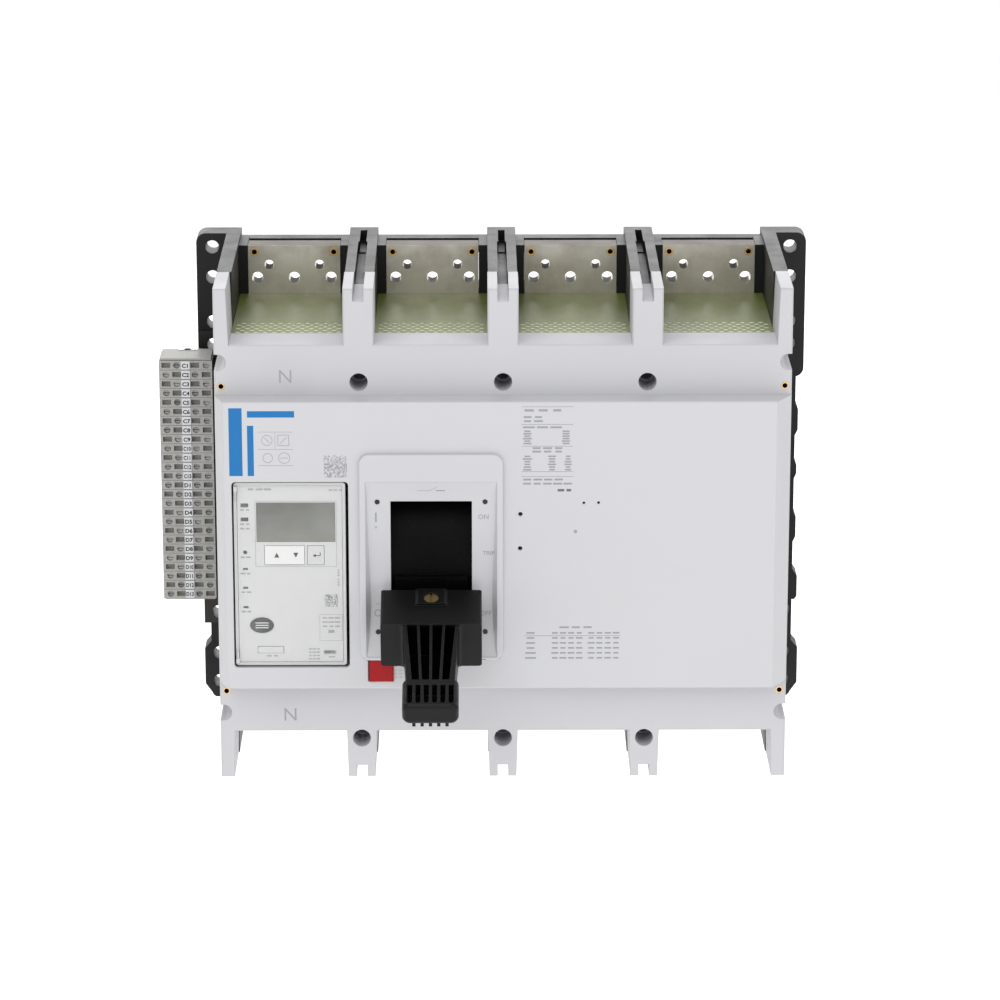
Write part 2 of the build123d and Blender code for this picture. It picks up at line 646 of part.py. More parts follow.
def contact_fingers():
    """The swinging contact fingers, drawn open."""
    back = PLATE_FRONT + PAD_T + CONTACT_GAP + PAD_T
    fingers = Part()
    for pole in POLE_X:
        for x in finger_x(pole):
            span = around(x, FINGER_W / 2)
            arm = prism_x([(back, PAD_Z - 14), (back, PAD_Z + 12), (back + 8, PAD_Z + 18),
                           (back + 14, PAD_Z + 18), (back + 16, PAD_Z - 16), (SHAFT_DEPTH + 14, SHAFT_Z + 6),
                           (SHAFT_DEPTH, SHAFT_Z - 6), (SHAFT_DEPTH - 14, SHAFT_Z + 6)], span)
            arm += rod_x(span, SHAFT_DEPTH, SHAFT_Z, FINGER_HUB_R)
            fingers += arm - rod_x(span, SHAFT_DEPTH, SHAFT_Z, SHAFT_R + RUN)
    return turned(fingers, SHAFT_DEPTH, SHAFT_Z, OPEN_ANGLE)


def moving_contacts():
    """Silver pads on the fingers."""
    back = PLATE_FRONT + PAD_T + CONTACT_GAP
    pads = Part() + [block(around(x, FINGER_W / 2 - 0.5), (back, back + PAD_T), around(PAD_Z, PAD_H / 2))
                     for pole in POLE_X for x in finger_x(pole)]
    return turned(pads, SHAFT_DEPTH, SHAFT_Z, OPEN_ANGLE)


def crossbar():
    """The shaft that swings the fingers of all the poles together."""
    end = HALF_W - BARRIER / 2 - 2
    return rod_x((-end, end), SHAFT_DEPTH, SHAFT_Z, SHAFT_R)


def crossbar_bearings():
    """Bearing blocks for the shaft in the walls between the poles."""
    half = SHAFT_R + 3 - FIT
    blocks = Part()
    for x in WALL_X:
        span = around(x, BARRIER / 2 - 0.4)
        body = block(span, (SHAFT_DEPTH - half, PART_DEPTH - FIT), around(SHAFT_Z, half))
        blocks += body - rod_x(span, SHAFT_DEPTH, SHAFT_Z, SHAFT_R + RUN)
    return blocks


def grid_depths():
    """Depths of the arc chutes' grid plates."""
    return [PLATE_FRONT + 16 + i * GRID_PITCH for i in range(GRIDS)]


def arc_grids():
    """Steel grid plates of the arc chutes, each with its slot for the fingers."""
    plates = Part()
    for x in POLE_X:
        for depth in grid_depths():
            span = (depth, depth + GRID_T)
            plate = block(around(x, 33), span, (PAD_Z - 14, LINE_FLOOR - END_WALL - 3))
            plates += plate - block(around(x, 22), span, (PAD_Z - 14, PAD_Z + 24))
    return plates


def arc_side_plates():
    """Fibre side plates that hold the grid plates."""
    last = grid_depths()[-1] + GRID_T + 2
    return Part() + [block(sorted((x + side * 33, x + side * 35.5)), (PLATE_FRONT + 12, last),
                           (PAD_Z - 16, LINE_FLOOR - END_WALL - 1))
                     for x in POLE_X for side in (-1, 1)]


def flexible_shunts():
    """Laminated copper straps from the load bars to the fingers."""
    z = LOAD_BAR_END
    top = SHAFT_Z - FINGER_HUB_R - 1
    strap = [(PLATE_FRONT, z - 44), (PLATE_FRONT + 6, z - 44), (PLATE_FRONT + 7, top - 20),
             (PLATE_FRONT + 16, top - 11), (SHAFT_DEPTH + 12, top - 11), (SHAFT_DEPTH + 12, top),
             (PLATE_FRONT + 12, top), (PLATE_FRONT, top - 14)]
    return Part() + [prism_x(strap, around(x, 20)) for x in POLE_X]


def current_sensors():
    """Ring sensors round the load bars."""
    rings = Part()
    z = (LOAD_FLOOR + END_WALL + 14, LOAD_FLOOR + END_WALL + 42)
    for x in POLE_X:
        ring = rounded(around(x, 43), (BACK_WALL + 1, PLATE_FRONT + 24), z, 2)
        rings += ring - block(around(x, BAR_W / 2 + 1), (PLATE_BACK - 1, PLATE_FRONT + 1), z)
    return rings


# ---------------------------------------------------------------- operating mechanism
def mechanism_plates():
    """The two steel side plates that carry the handle's pivot."""
    outline = [(BACK_WALL, -76), (BACK_WALL, -50), (60, -50), (60, 30), (BACK_WALL, 30), (BACK_WALL, 56),
               (150, 56), (188, 30), (188, -50), (160, -76)]
    plates = Part()
    for side in (-1, 1):
        span = sorted((HANDLE_X + side * 37, HANDLE_X + side * 40))
        plate = prism_x(outline, span)
        plate -= rod_x(span, SHAFT_DEPTH, SHAFT_Z, SHAFT_R + 1)
        plate -= block(span, (55, SHAFT_DEPTH), around(SHAFT_Z, SHAFT_R + 1))
        plate -= rod_x(span, PIVOT_DEPTH, PIVOT_Z, PIN_R + RUN)
        for depth, z in spacer_places():
            plate -= rod_x(span, depth, z, 4.0)
        plates += plate
    return plates


def spacer_places():
    """Where the cross spacers of the mechanism frame go."""
    return ((140, 46), (150, -66), (18, -62))


def mechanism_spacers():
    """Steel spacers across the mechanism frame."""
    return Part() + [rod_x(around(HANDLE_X, 41), depth, z, 4.0 - RUN) for depth, z in spacer_places()]


def handle_pivot_pin():
    """The pin that the handle turns on."""
    return rod_x(around(HANDLE_X, 41), PIVOT_DEPTH, PIVOT_Z, PIN_R)


def toggle_links():
    """Links that ride on the crossbar and take the springs' pull."""
    links = Part()
    for side in (-1, 1):
        span = sorted((HANDLE_X + side * 26, HANDLE_X + side * 31))
        link = rod_x(span, SHAFT_DEPTH, SHAFT_Z, 17) + rod_x(span, SHAFT_DEPTH + 40, SHAFT_Z, 7)
        link += block(span, (SHAFT_DEPTH, SHAFT_DEPTH + 40), around(SHAFT_Z, 6))
        links += link - rod_x(span, SHAFT_DEPTH, SHAFT_Z, SHAFT_R + RUN)
    return links


def operating_springs():
    """The two tension springs of the toggle, drawn as their outer tubes."""
    springs = Part()
    for side in (-1, 1):
        x = HANDLE_X + side * 19
        springs += rod_y(x, (118, 152), PIVOT_Z + 42, 5) - rod_y(x, (120, 150), PIVOT_Z + 42, 3.6)
    return springs


def cradle():
    """The latched cradle that the trip bar releases."""
    return prism_x([(122, 40), (150, 40), (182, 22), (182, 14), (150, 30), (122, 30)], around(HANDLE_X, 5))


# ---------------------------------------------------------------- handle
def along(length, height):
    """A point on the handle, before it is tilted, from its pivot: (depth, z)."""
    return PIVOT_DEPTH + length, PIVOT_Z + height


def handle_block(x, length, height):
    """A box in the handle's own directions, before it is tilted."""
    return block((HANDLE_X + x[0], HANDLE_X + x[1]), (PIVOT_DEPTH + length[0], PIVOT_DEPTH + length[1]),
                 (PIVOT_Z + height[0], PIVOT_Z + height[1]))


def tilted(shape):
    """Tip a handle piece down to its OFF position."""
    return turned(shape, PIVOT_DEPTH, PIVOT_Z, HANDLE_TILT)


def handle_lever():
    """The hub on the pivot pin and the arm that carries the extension."""
    hub = rod_x(around(HANDLE_X, 29), PIVOT_DEPTH, PIVOT_Z, 12)
    lever = hub + handle_block((-14, 14), (0, BLOCK_START + 34), (-8, 8))
    return tilted(lever - rod_x(around(HANDLE_X, 29), PIVOT_DEPTH, PIVOT_Z, PIN_R + RUN))


def curved_shell(outer_r, inner_r, angles, x):
    """A curved plate about the handle's pivot, before it is tilted."""
    low, high = [math.radians(angle) for angle in angles]
    steps = max(12, round((angles[1] - angles[0]) / 2.5))
    arc = [low + (high - low) * i / steps for i in range(steps + 1)]
    outer = [along(outer_r * math.cos(a), outer_r * math.sin(a)) for a in arc]
    inner = [along(inner_r * math.cos(a), inner_r * math.sin(a)) for a in reversed(arc)]
    return prism_x(outer + inner, x)


def handle_shield():
    """The curved shield that closes the window at every handle position."""
    reach = math.degrees(math.asin((WINDOW_TOP - WINDOW_BOTTOM) / 2 / SHIELD_R)) + SHIELD_SPARE
    inner_r = SHIELD_R - SHIELD_T
    span = (-reach - HANDLE_ON, reach + HANDLE_TILT)
    shell = curved_shell(SHIELD_R, inner_r, span, around(HANDLE_X, SHIELD_W / 2))
    span = (-SADDLE_ANGLE, SADDLE_ANGLE)
    saddle = curved_shell(SADDLE_R, inner_r + 1, span, around(HANDLE_X, SADDLE_W / 2))
    shell += saddle
    shell -= handle_block((-14 - RUN, 14 + RUN), (60, 90), (-8 - RUN, 8 + RUN))
    return tilted(shell)


def handle_extension():
    """The moulded handle: block, ribbed open neck and slotted knob."""
    end = BLOCK_START + BLOCK_LENGTH
    top = BLOCK_H / 2
    body = handle_block((-BLOCK_W / 2, BLOCK_W / 2), (BLOCK_START, end), (-top, top))
    body = fillet(body.edges().filter_by(Axis.Y), 2.5)
    neck_end = end + NECK_LENGTH
    body += neck(end, neck_end)
    corners = [e for e in body.edges().filter_by(Axis.Z) if abs(e.center().Y + PIVOT_DEPTH + end) < 0.2]
    corners = [e for e in corners if abs(abs(e.center().X - HANDLE_X) - NECK_W0 / 2) < 0.5]
    body = fillet(corners, 4)
    extension = body + knob(neck_end)
    extension -= neck_channels(end, neck_end)
    extension -= handle_block((-14 - FIT, 14 + FIT), (BLOCK_START - 1, BLOCK_START + 34 + FIT),
                              (-8 - FIT, 8 + FIT))
    boss = handle_block((-12.5, 12.5), (BLOCK_START + 0.5, BLOCK_START + 24), (top - 4, top + 2.5))
    extension += chamfer(boss.edges().filter_by(Axis.Y).sort_by(Axis.Z)[2:], 2)
    extension -= rear_cuts(top)
    extension -= rod_at(0, BLOCK_START + 17, (top - 6, top + 6), 6.0)
    extension -= rod_at(0, BLOCK_START + 17, (0, top), 3.2)
    return tilted(extension)


def rear_cuts(top):
    """What the block's rear corners lose, so that they clear the track at both ends of the swing."""
    x = around(HANDLE_X, BLOCK_W)
    upper = prism_x([along(BLOCK_START - 1, top + 3), along(BLOCK_START - 1, top - 9),
                     along(BLOCK_START, top - 9), along(BLOCK_START + 6, top + 3)], x)
    lower = prism_x([along(BLOCK_START - 1, -top - 1), along(BLOCK_START - 1, -5),
                     along(BLOCK_START, -5), along(BLOCK_START + 10.5, -top - 1)], x)
    return upper + lower


def neck(start, end):
    """The tapered neck between block and knob, whose underside rises to the knob."""
    top = BLOCK_H / 2
    outline = []
    for side in (-1, 1):
        ends = [(HANDLE_X + side * NECK_W0 / 2, PIVOT_DEPTH + start - 3),
                (HANDLE_X + side * NECK_W0 / 2, PIVOT_DEPTH + start),
                (HANDLE_X + side * NECK_W1 / 2, PIVOT_DEPTH + end + 6)]
        outline += ends if side < 0 else ends[::-1]
    solid = prism_z(outline, (PIVOT_Z - top, PIVOT_Z + top - 1))
    cut = prism_x([along(start, -top), along(end + 9, 0), along(end + 9, -top - 1),
                   along(start, -top - 1)], around(HANDLE_X, NECK_W0))
    return solid - cut


def rod_at(x, length, height, radius):
    """A cylinder square to the handle's top, before it is tilted."""
    return rod_z(HANDLE_X + x, PIVOT_DEPTH + length, (PIVOT_Z + height[0], PIVOT_Z + height[1]), radius)


def neck_channels(start, end):
    """The open channels between the neck's ribs."""
    channels = Part()
    rib = 2.2
    count = 4
    for i in range(count):
        sides = []
        for width, length in ((CHANNEL_W0, start - 9), (CHANNEL_W1, end)):
            cell = (width - (count - 1) * rib) / count
            left = -width / 2 + i * (cell + rib)
            sides.append((left, left + cell, length))
        (l0, r0, u0), (l1, r1, u1) = sides
        floor = PIVOT_Z - BLOCK_H / 2 + 3
        channel = prism_z([(HANDLE_X + l0, PIVOT_DEPTH + u0), (HANDLE_X + l1, PIVOT_DEPTH + u1),
                           (HANDLE_X + r1, PIVOT_DEPTH + u1), (HANDLE_X + r0, PIVOT_DEPTH + u0)],
                          (floor, PIVOT_Z + BLOCK_H / 2 + 1))
        roof = handle_block((-NECK_W0, NECK_W0), (start - 12, start), (BLOCK_H / 2 - 3, BLOCK_H))
        keep = prism_x([along(start - 12, -BLOCK_H), along(start - 12, -BLOCK_H / 2 + 3),
                        along(start, -BLOCK_H / 2 + 3), along(end + 9, 3), along(end + 9, -BLOCK_H)],
                       around(HANDLE_X, NECK_W0))
        channels += channel - roof - keep
    return channels


def knob(start):
    """The rounded knob at the handle's end, with its grip slots and ridges."""
    length = (start - 1, start + KNOB_LENGTH - 2)
    body = handle_block((-KNOB_W / 2, KNOB_W / 2), length, (0, KNOB_H))
    body = fillet(body.edges().filter_by(Axis.Y), 6.5)
    body = fillet(body.faces().sort_by(Axis.Y)[0].edges(), 4)
    pitch = 6.4
    for i in range(6):
        x = (i - 2.5) * pitch
        depth = (KNOB_H - 11, KNOB_H + 1)
        body -= handle_block((x - 2, x + 2), (start + 1.5, start + 25), depth)
        body -= rod_at(x, start + 25, depth, 2)
    for i in range(5):
        x = (i - 2) * pitch
        body += handle_block((x - 1.3, x + 1.3), (start + 10, length[1] - 1), (-2, 3))
    return body


def handle_screw():
    """The slotted brass screw that clamps the extension on the lever."""
    top = BLOCK_H / 2
    screw = rod_at(0, BLOCK_START + 17, (top - 4, top + 1.6), 5.75)
    screw += rod_at(0, BLOCK_START + 17, (8, top - 4), 3.1)
    slot = handle_block((-0.8, 0.8), (BLOCK_START + 10, BLOCK_START + 24), (top + 0.2, top + 2))
    return tilted(screw - slot)


# ---------------------------------------------------------------- trip unit
def trip_unit_housing():
    """The trip unit's box, with the knuckles of the clear cover's hinge."""
    x = (UNIT_LEFT, UNIT_RIGHT)
    z = (UNIT_BOTTOM, UNIT_TOP)
    wall = UNIT_WALL
    box = rounded(x, (UNIT_BACK, UNIT_RIM), z, 2.5)
    box -= block((x[0] + wall, x[1] - wall), (UNIT_BACK + wall, UNIT_RIM), (z[0] + wall, z[1] - wall))
    seat = (fascia_back() - 3, fascia_back())
    ledge = block((x[0] + wall, x[1] - wall), seat, (z[0] + wall, z[1] - wall))
    ledge -= block((x[0] + 2 * wall, x[1] - 2 * wall), seat, (z[0] + 2 * wall, z[1] - 2 * wall))
    box += ledge
    for span in housing_knuckles():
        box += rod_z(hinge_x(), hinge_depth(), span, 1.5)
        box += block(around(hinge_x(), 1.0), (UNIT_RIM - 1, hinge_depth()), span)
        box -= rod_z(hinge_x(), hinge_depth(), span, 0.8)
    return box


def fascia_back():
    """Depth of the fascia's back face."""
    return UNIT_RIM - 0.5 - FASCIA_T


def hinge_x():
    """X of the clear cover's hinge axis."""
    return UNIT_LEFT + 1.7


def hinge_depth():
    """Depth of the clear cover's hinge axis."""
    return UNIT_RIM + 2.0


def housing_knuckles():
    """Heights of the hinge knuckles on the housing."""
    return ((UNIT_TOP - 6.5, UNIT_TOP - 2.5), (UNIT_BOTTOM + 2.5, UNIT_BOTTOM + 6.5))


def lid_knuckles():
    """Heights of the hinge knuckles on the clear cover."""
    return ((UNIT_TOP - 14, UNIT_TOP - 6.8), (UNIT_BOTTOM + 6.8, UNIT_BOTTOM + 14))


def trip_unit_fascia():
    """The trip unit's face plate and its openings."""
    gap = UNIT_WALL + FIT
    depth = (fascia_back(), fascia_back() + FASCIA_T)
    plate = block((UNIT_LEFT + gap, UNIT_RIGHT - gap), depth, (UNIT_BOTTOM + gap, UNIT_TOP - gap))
    plate -= block((LCD_X[0] - 0.2, LCD_X[1] + 0.2), depth, (LCD_Z[0] - 0.2, LCD_Z[1] + 0.2))
    for x in (ARROW_X, ENTER_X):
        plate -= block((x[0] - FIT, x[1] + FIT), depth, (ARROW_Z[0] - FIT, ARROW_Z[1] + FIT))
    plate -= lamps(depth, FIT)
    plate -= block((TRAY_X[0] - FIT, TRAY_X[1] + FIT), depth, (TRAY_Z[0] - FIT, TRAY_Z[1] + FIT))
    plate -= block((USB_X[0] - FIT, USB_X[1] + FIT), depth, (USB_Z[0] - FIT, USB_Z[1] + FIT))
    return plate


def lcd_display():
    """The display: its glass stands in the fascia's opening."""
    back = fascia_back()
    glass = block(LCD_X, (back, back + FASCIA_T - 0.5), LCD_Z)
    return glass + block((LCD_X[0] - 2, LCD_X[1] + 2), (back - 3, back), (LCD_Z[0] - 1.5, LCD_Z[1] + 2))


def arrow_key():
    """The rocker key that moves up and down through the display's pages."""
    back = fascia_back()
    return block(ARROW_X, (back - 1, back + FASCIA_T + 0.2), ARROW_Z)


def enter_key():
    """The key that confirms a choice."""
    back = fascia_back()
    return block(ENTER_X, (back - 1, back + FASCIA_T + 0.3), ARROW_Z)


def lamps(depth, gap):
    """The lamps and the reset button between two depths, larger all round by a gap."""
    shapes = [rod_y(LED_X, depth, RESET_Z, RESET_R + gap)]
    for heights, width, height in ((LAMP_Z, LAMP_W, LAMP_H), (LED_Z, LED_W, LED_H)):
        x = around(LED_X, width / 2 + gap)
        shapes += [block(x, depth, around(z, height / 2 + gap)) for z in heights]
    return Part() + shapes


def status_leds():
    """Light guides of the status lamps, and the reset button between them."""
    return lamps((fascia_back() - 5, fascia_back() + FASCIA_T - 0.4), 0)


def circuit_board():
    """The trip unit's circuit board."""
    back = fascia_back() - 8
    gap = UNIT_WALL + 1.5
    x = (UNIT_LEFT + gap, UNIT_RIGHT - gap)
    board = block(x, (back - 1.6, back), (UNIT_BOTTOM + gap, UNIT_TOP - gap))
    board -= block((TRAY_X[0] - 2, TRAY_X[1] + 2), (back - 1.6, back), (TRAY_Z[0] - 2, TRAY_Z[1] + 2))
    return board


def battery_tray():
    """The small tray that holds the cell."""
    back = fascia_back()
    x = sum(TRAY_X) / 2
    tray = block(TRAY_X, (back - 20, back + FASCIA_T + 0.3), TRAY_Z)
    return tray - rod_z(x, back - 9, (TRAY_Z[0] + 1.2, TRAY_Z[1]), 8.2)


def battery_cell():
    """The coin cell in its tray."""
    back = fascia_back()
    return rod_z(sum(TRAY_X) / 2, back - 9, (TRAY_Z[0] + 1.2, TRAY_Z[0] + 4.4), 8.0)


def battery_tab():
    """The oval tab on the fascia that isolates the cell until it is pulled."""
    depth = fascia_back() + FASCIA_T
    face = Plane.XZ.offset(depth) * Pos(-192.8, -68) * Ellipse(9.5, 6.5)
    return extrude(face, amount=0.4, dir=(0, -1, 0))


def usb_socket():
    """The service socket behind the fascia."""
    back = fascia_back()
    shell = block(USB_X, (back - 6, back + FASCIA_T - 0.2), USB_Z)
    mouth = (back - 4, back + FASCIA_T)
    return shell - block((USB_X[0] + 0.4, USB_X[1] - 0.4), mouth, (USB_Z[0] + 0.4, USB_Z[1] - 0.4))


def clear_cover():
    """The clear hinged cover over the fascia."""
    front = UNIT_RIM + 2.2
    x = (hinge_x() + 0.6, UNIT_RIGHT - 1.2)
    plate = rounded(x, (front - LID_T, front), (UNIT_BOTTOM + 2, UNIT_TOP - 2.2), 2)
    for span in housing_knuckles():
        plate -= rod_z(hinge_x(), hinge_depth(), (span[0] - FIT, span[1] + FIT), 2.0)
        plate -= block((x[0] - 3, hinge_x() + 2.0), (front - 4, front + 1), (span[0] - FIT, span[1] + FIT))
    for span in lid_knuckles():
        plate += rod_z(hinge_x(), hinge_depth(), span, 1.5)
        plate -= rod_z(hinge_x(), hinge_depth(), span, 0.75 + RUN)
    return plate


def clear_cover_pins():
    """The two hinge pins of the clear cover."""
    pins = Part()
    for fixed, moving in zip(housing_knuckles(), lid_knuckles()):
        pins += rod_z(hinge_x(), hinge_depth(), (min(fixed + moving), max(fixed + moving)), 0.75)
    return pins


def auxiliary_switches():
    """Auxiliary and alarm switches, which the terminal strip is wired to."""
    places = [POLE_X[2] - 21 + 21 * i for i in range(3)]
    return Part() + [rounded(around(x, 9.5), (178, 216), (4, 46), 1.5) for x in places]


# ---------------------------------------------------------------- terminal strip
def way_heights(first):
    """Centre heights of thirteen terminal ways, from the top down."""
    return [STRIP_TOP - (first + i + 0.5) * WAY_PITCH for i in range(WAYS_PER_BLOCK)]


def way_screws(index):
    """The two screw places of one way: the columns swap from way to way."""
    return (STRIP_SCREW_X[1], STRIP_SCREW_X[3]) if index % 2 == 0 else (STRIP_SCREW_X[0], STRIP_SCREW_X[2])


def way_entries(index):
    """The two wire entries of one way, in the columns its screws leave free."""
    return (STRIP_SCREW_X[0], STRIP_SCREW_X[2]) if index % 2 == 0 else (STRIP_SCREW_X[1], STRIP_SCREW_X[3])


def terminal_blocks(first):
    """Thirteen feed-through terminal blocks on the rail."""
    blocks = Part()
    half = WAY_PITCH / 2 - 0.12
    for i, z in enumerate(way_heights(first)):
        span = around(z, half)
        body = block((STRIP_LEFT, STRIP_RIGHT), (STRIP_BACK, STRIP_FRONT), span)
        body -= block(around(RAIL_X, RAIL_W / 2 + FIT), (STRIP_BACK, STRIP_BACK + RAIL_H), span)
        for x in way_screws(first + i):
            body -= rod_y(x, (STRIP_FRONT - 12, STRIP_FRONT), z, 2.7)
        for x in way_entries(first + i):
            body -= block(around(x, 3.6), (STRIP_FRONT - 5, STRIP_FRONT), around(z, 2.2))
        blocks += body
    return blocks


def terminal_blocks_c():
    """The upper thirteen ways."""
    return terminal_blocks(0)


def terminal_blocks_d():
    """The lower thirteen ways."""
    return terminal_blocks(WAYS_PER_BLOCK)


def clamp_screws():
    """Slotted clamp screws of the terminal blocks."""
    screws = Part()
    for first in (0, WAYS_PER_BLOCK):
        for i, z in enumerate(way_heights(first)):
            for x in way_screws(first + i):
                head = rod_y(x, (STRIP_FRONT - 12, STRIP_FRONT - 1.6), z, 2.6)
                screws += head - block(around(x, 3), (STRIP_FRONT - 2.8, STRIP_FRONT), around(z, 0.45))
    return screws


def marker_tags():
    """White marker tags, one for each way."""
    heights = way_heights(0) + way_heights(WAYS_PER_BLOCK)
    return Part() + [block(LABEL_X, (STRIP_FRONT, STRIP_FRONT + 0.6), around(z, WAY_PITCH / 2 - 0.5))
                     for z in heights]


def strip_bottom():
    """Height of the lower end of the last terminal block."""
    return STRIP_TOP - 2 * WAYS_PER_BLOCK * WAY_PITCH


def din_rail():
    """The narrow top-hat rail behind the blocks."""
    half = RAIL_W / 2
    back = STRIP_BACK - 1.5
    outline = [(RAIL_X - half + 4, back), (RAIL_X + half - 4, back), (RAIL_X + half - 4, back + RAIL_H - 1),
               (RAIL_X + half, back + RAIL_H - 1), (RAIL_X + half, back + RAIL_H),
               (RAIL_X + half - 5, back + RAIL_H), (RAIL_X + half - 5, back + 1),
               (RAIL_X - half + 5, back + 1), (RAIL_X - half + 5, back + RAIL_H),
               (RAIL_X - half, back + RAIL_H), (RAIL_X - half, back + RAIL_H - 1),
               (RAIL_X - half + 4, back + RAIL_H - 1)]
    return prism_z(outline, (strip_bottom() - 1.2, STRIP_TOP + 2))


def end_stops():
    """The end stop above the blocks and the end plate below them."""
    x = (STRIP_LEFT + 1, STRIP_RIGHT - 1)
    high = (STRIP_TOP + 0.2, STRIP_TOP + 1.7)
    top = block(x, (STRIP_BACK, STRIP_FRONT - 1), high)
    top -= block(around(RAIL_X, RAIL_W / 2 + FIT), (STRIP_BACK, STRIP_BACK + RAIL_H), high)
    low = strip_bottom()
    bottom = block(x, (STRIP_BACK, STRIP_FRONT - 1), (low - 1.1, low - 0.1))
    bottom -= block(around(RAIL_X, RAIL_W / 2 + FIT), (STRIP_BACK, STRIP_BACK + RAIL_H), (low - 2, low))
    return top + bottom


def rail_brackets():
    """Z-shaped brackets that carry the rail from the flange."""
    brackets = Part()
    back = STRIP_BACK - 1.5
    upper = ((84, 120), (84, 106), FLANGE_HOLE_Z[3])
    lower = ((-136, -70), (-94, -72), FLANGE_HOLE_Z[4])
    for z, arm, hole in (upper, lower):
        foot = block((-EAR_X + 1, -HALF_W - 2), (FLANGE_T, FLANGE_T + 2.5), z)
        foot -= rod_y(-FLANGE_HOLE_X, (FLANGE_T, FLANGE_T + 2.5), hole, FLANGE_HOLE_R)
        riser = block((-EAR_X + 1, -EAR_X + 3.5), (FLANGE_T, back), arm)
        shelf = block((RAIL_X - RAIL_W / 2, -EAR_X + 3.5), (back - 2.5, back), arm)
        brackets += foot + riser + shelf
    return brackets


def lead_grommet():
    """The rubber grommet where the control leads enter the case."""
    return rounded_side(around(12, 48), (FLANGE_T + 1.5, FLANGE_T + 19.5))


def rounded_side(z, depth):
    """A pad with rounded corners on the left side of the case."""
    pad = block((-HALF_W - 2.5, -HALF_W), depth, z)
    return fillet(pad.edges().filter_by(Axis.X), 4)


def lead_routes():
    """The control leads' routes, from the strip to the grommet, as (x, depth, z)."""
    routes = []
    for start, end in ((58, 47), (44, 36), (27, 24), (10, 12), (-10, 0), (-27, -13), (-36, -24)):
        low = FLANGE_T + 9 + (start + end) % 3
        routes.append([(STRIP_RIGHT - 4.5, STRIP_BACK, start), (STRIP_RIGHT - 4.5, STRIP_BACK - 5, start),
                       (STRIP_RIGHT - 3.4, STRIP_BACK - 11, start + (end - start) / 3),
                       (STRIP_RIGHT + 1.6, low + 0.8, end + (start - end) / 8),
                       (STRIP_RIGHT + 5, low, end), (-HALF_W - 2.5, low, end)])
    return routes


def lead(route):
    """One lead: straight runs joined by tangent arcs."""
    points = [Vector(x, -depth, z) for x, depth, z in route]
    radii = []
    for a, b, c in zip(points, points[1:], points[2:]):
        turn = math.radians((b - a).get_angle(c - b))
        radii.append(0.45 * min((b - a).length, (c - b).length) / math.tan(turn / 2))
    print("lead arc radii", [round(r, 1) for r in radii])
    path = FilletPolyline(*points, radius=radii)
    section = Plane(origin=path @ 0, z_dir=path % 0) * Circle(LEAD_R)
    return sweep(section, path=path)


def control_leads():
    """The control leads from the strip into the case."""
    return Part() + [lead(route) for route in lead_routes()]


# ---------------------------------------------------------------- write every piece
PIECES = (
    base, cover, brass_inserts, cover_screws, front_panel, escutcheon, escutcheon_screws, trip_button,
    trip_button_spring, trip_bar, trip_actuator, line_conductors, load_conductors, terminal_inserts,
    line_vent_screens, load_vent_screens, fixed_contacts, contact_fingers, moving_contacts, crossbar,
    crossbar_bearings, arc_grids, arc_side_plates, flexible_shunts, current_sensors, mechanism_plates,
    mechanism_spacers, handle_pivot_pin, toggle_links, operating_springs, cradle, handle_lever,
    handle_shield, handle_extension, handle_screw, trip_unit_housing, trip_unit_fascia, lcd_display,
    arrow_key, enter_key, status_leds, circuit_board, battery_tray, battery_cell, battery_tab, usb_socket,
    clear_cover, clear_cover_pins, auxiliary_switches, terminal_blocks_c, terminal_blocks_d, clamp_screws,
    marker_tags, din_rail, end_stops, rail_brackets, lead_grommet, control_leads,
)

os.makedirs("parts", exist_ok=True)
for piece in PIECES:
    export_step(piece(), "parts/" + piece.__name__ + ".step")
    print("wrote", piece.__name__)
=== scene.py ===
# %% [markdown]
# # A four-pole molded case breaker
# The breaker is a black moulded base that is bolted to a panel, a pale grey cover on top of it,
# a raised front panel with a trip unit, and a long black handle in a sunk window.
# The imported model already holds every part at its real size, so this file only gives it its looks:
# finishes, printed marks, light and a camera.

# %% Load the frame
import math

import bmesh
import bpy
from mathutils import Matrix, Vector
from mathutils.bvhtree import BVHTree


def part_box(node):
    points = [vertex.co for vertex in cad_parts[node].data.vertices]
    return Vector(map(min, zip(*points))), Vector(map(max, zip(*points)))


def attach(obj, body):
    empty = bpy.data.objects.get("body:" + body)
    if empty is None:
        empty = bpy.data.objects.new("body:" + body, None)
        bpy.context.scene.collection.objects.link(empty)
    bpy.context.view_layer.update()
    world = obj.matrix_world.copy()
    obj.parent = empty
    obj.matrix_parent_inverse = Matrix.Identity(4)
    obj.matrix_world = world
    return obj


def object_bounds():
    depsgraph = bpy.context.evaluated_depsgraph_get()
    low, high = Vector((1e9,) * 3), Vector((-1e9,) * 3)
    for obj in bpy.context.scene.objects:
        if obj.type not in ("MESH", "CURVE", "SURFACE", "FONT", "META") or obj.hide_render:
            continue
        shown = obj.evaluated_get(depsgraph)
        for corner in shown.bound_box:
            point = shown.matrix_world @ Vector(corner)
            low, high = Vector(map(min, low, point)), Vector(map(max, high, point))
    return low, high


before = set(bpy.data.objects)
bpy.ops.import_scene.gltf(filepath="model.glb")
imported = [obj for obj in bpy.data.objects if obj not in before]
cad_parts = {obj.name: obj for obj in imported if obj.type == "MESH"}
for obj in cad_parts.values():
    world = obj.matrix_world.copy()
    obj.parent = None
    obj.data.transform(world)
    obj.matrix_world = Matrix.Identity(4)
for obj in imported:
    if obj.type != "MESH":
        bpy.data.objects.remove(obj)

MM = 0.001
CASE_BOX = [list(corner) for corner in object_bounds()]
print("box of the frame, in metres:", CASE_BOX)

# %% [markdown]
# ## Camera
# The breaker stands upright and is seen from a little above, through a long lens that keeps the
# walls between the poles almost parallel. A look-at turn is simpler to read than three angles.

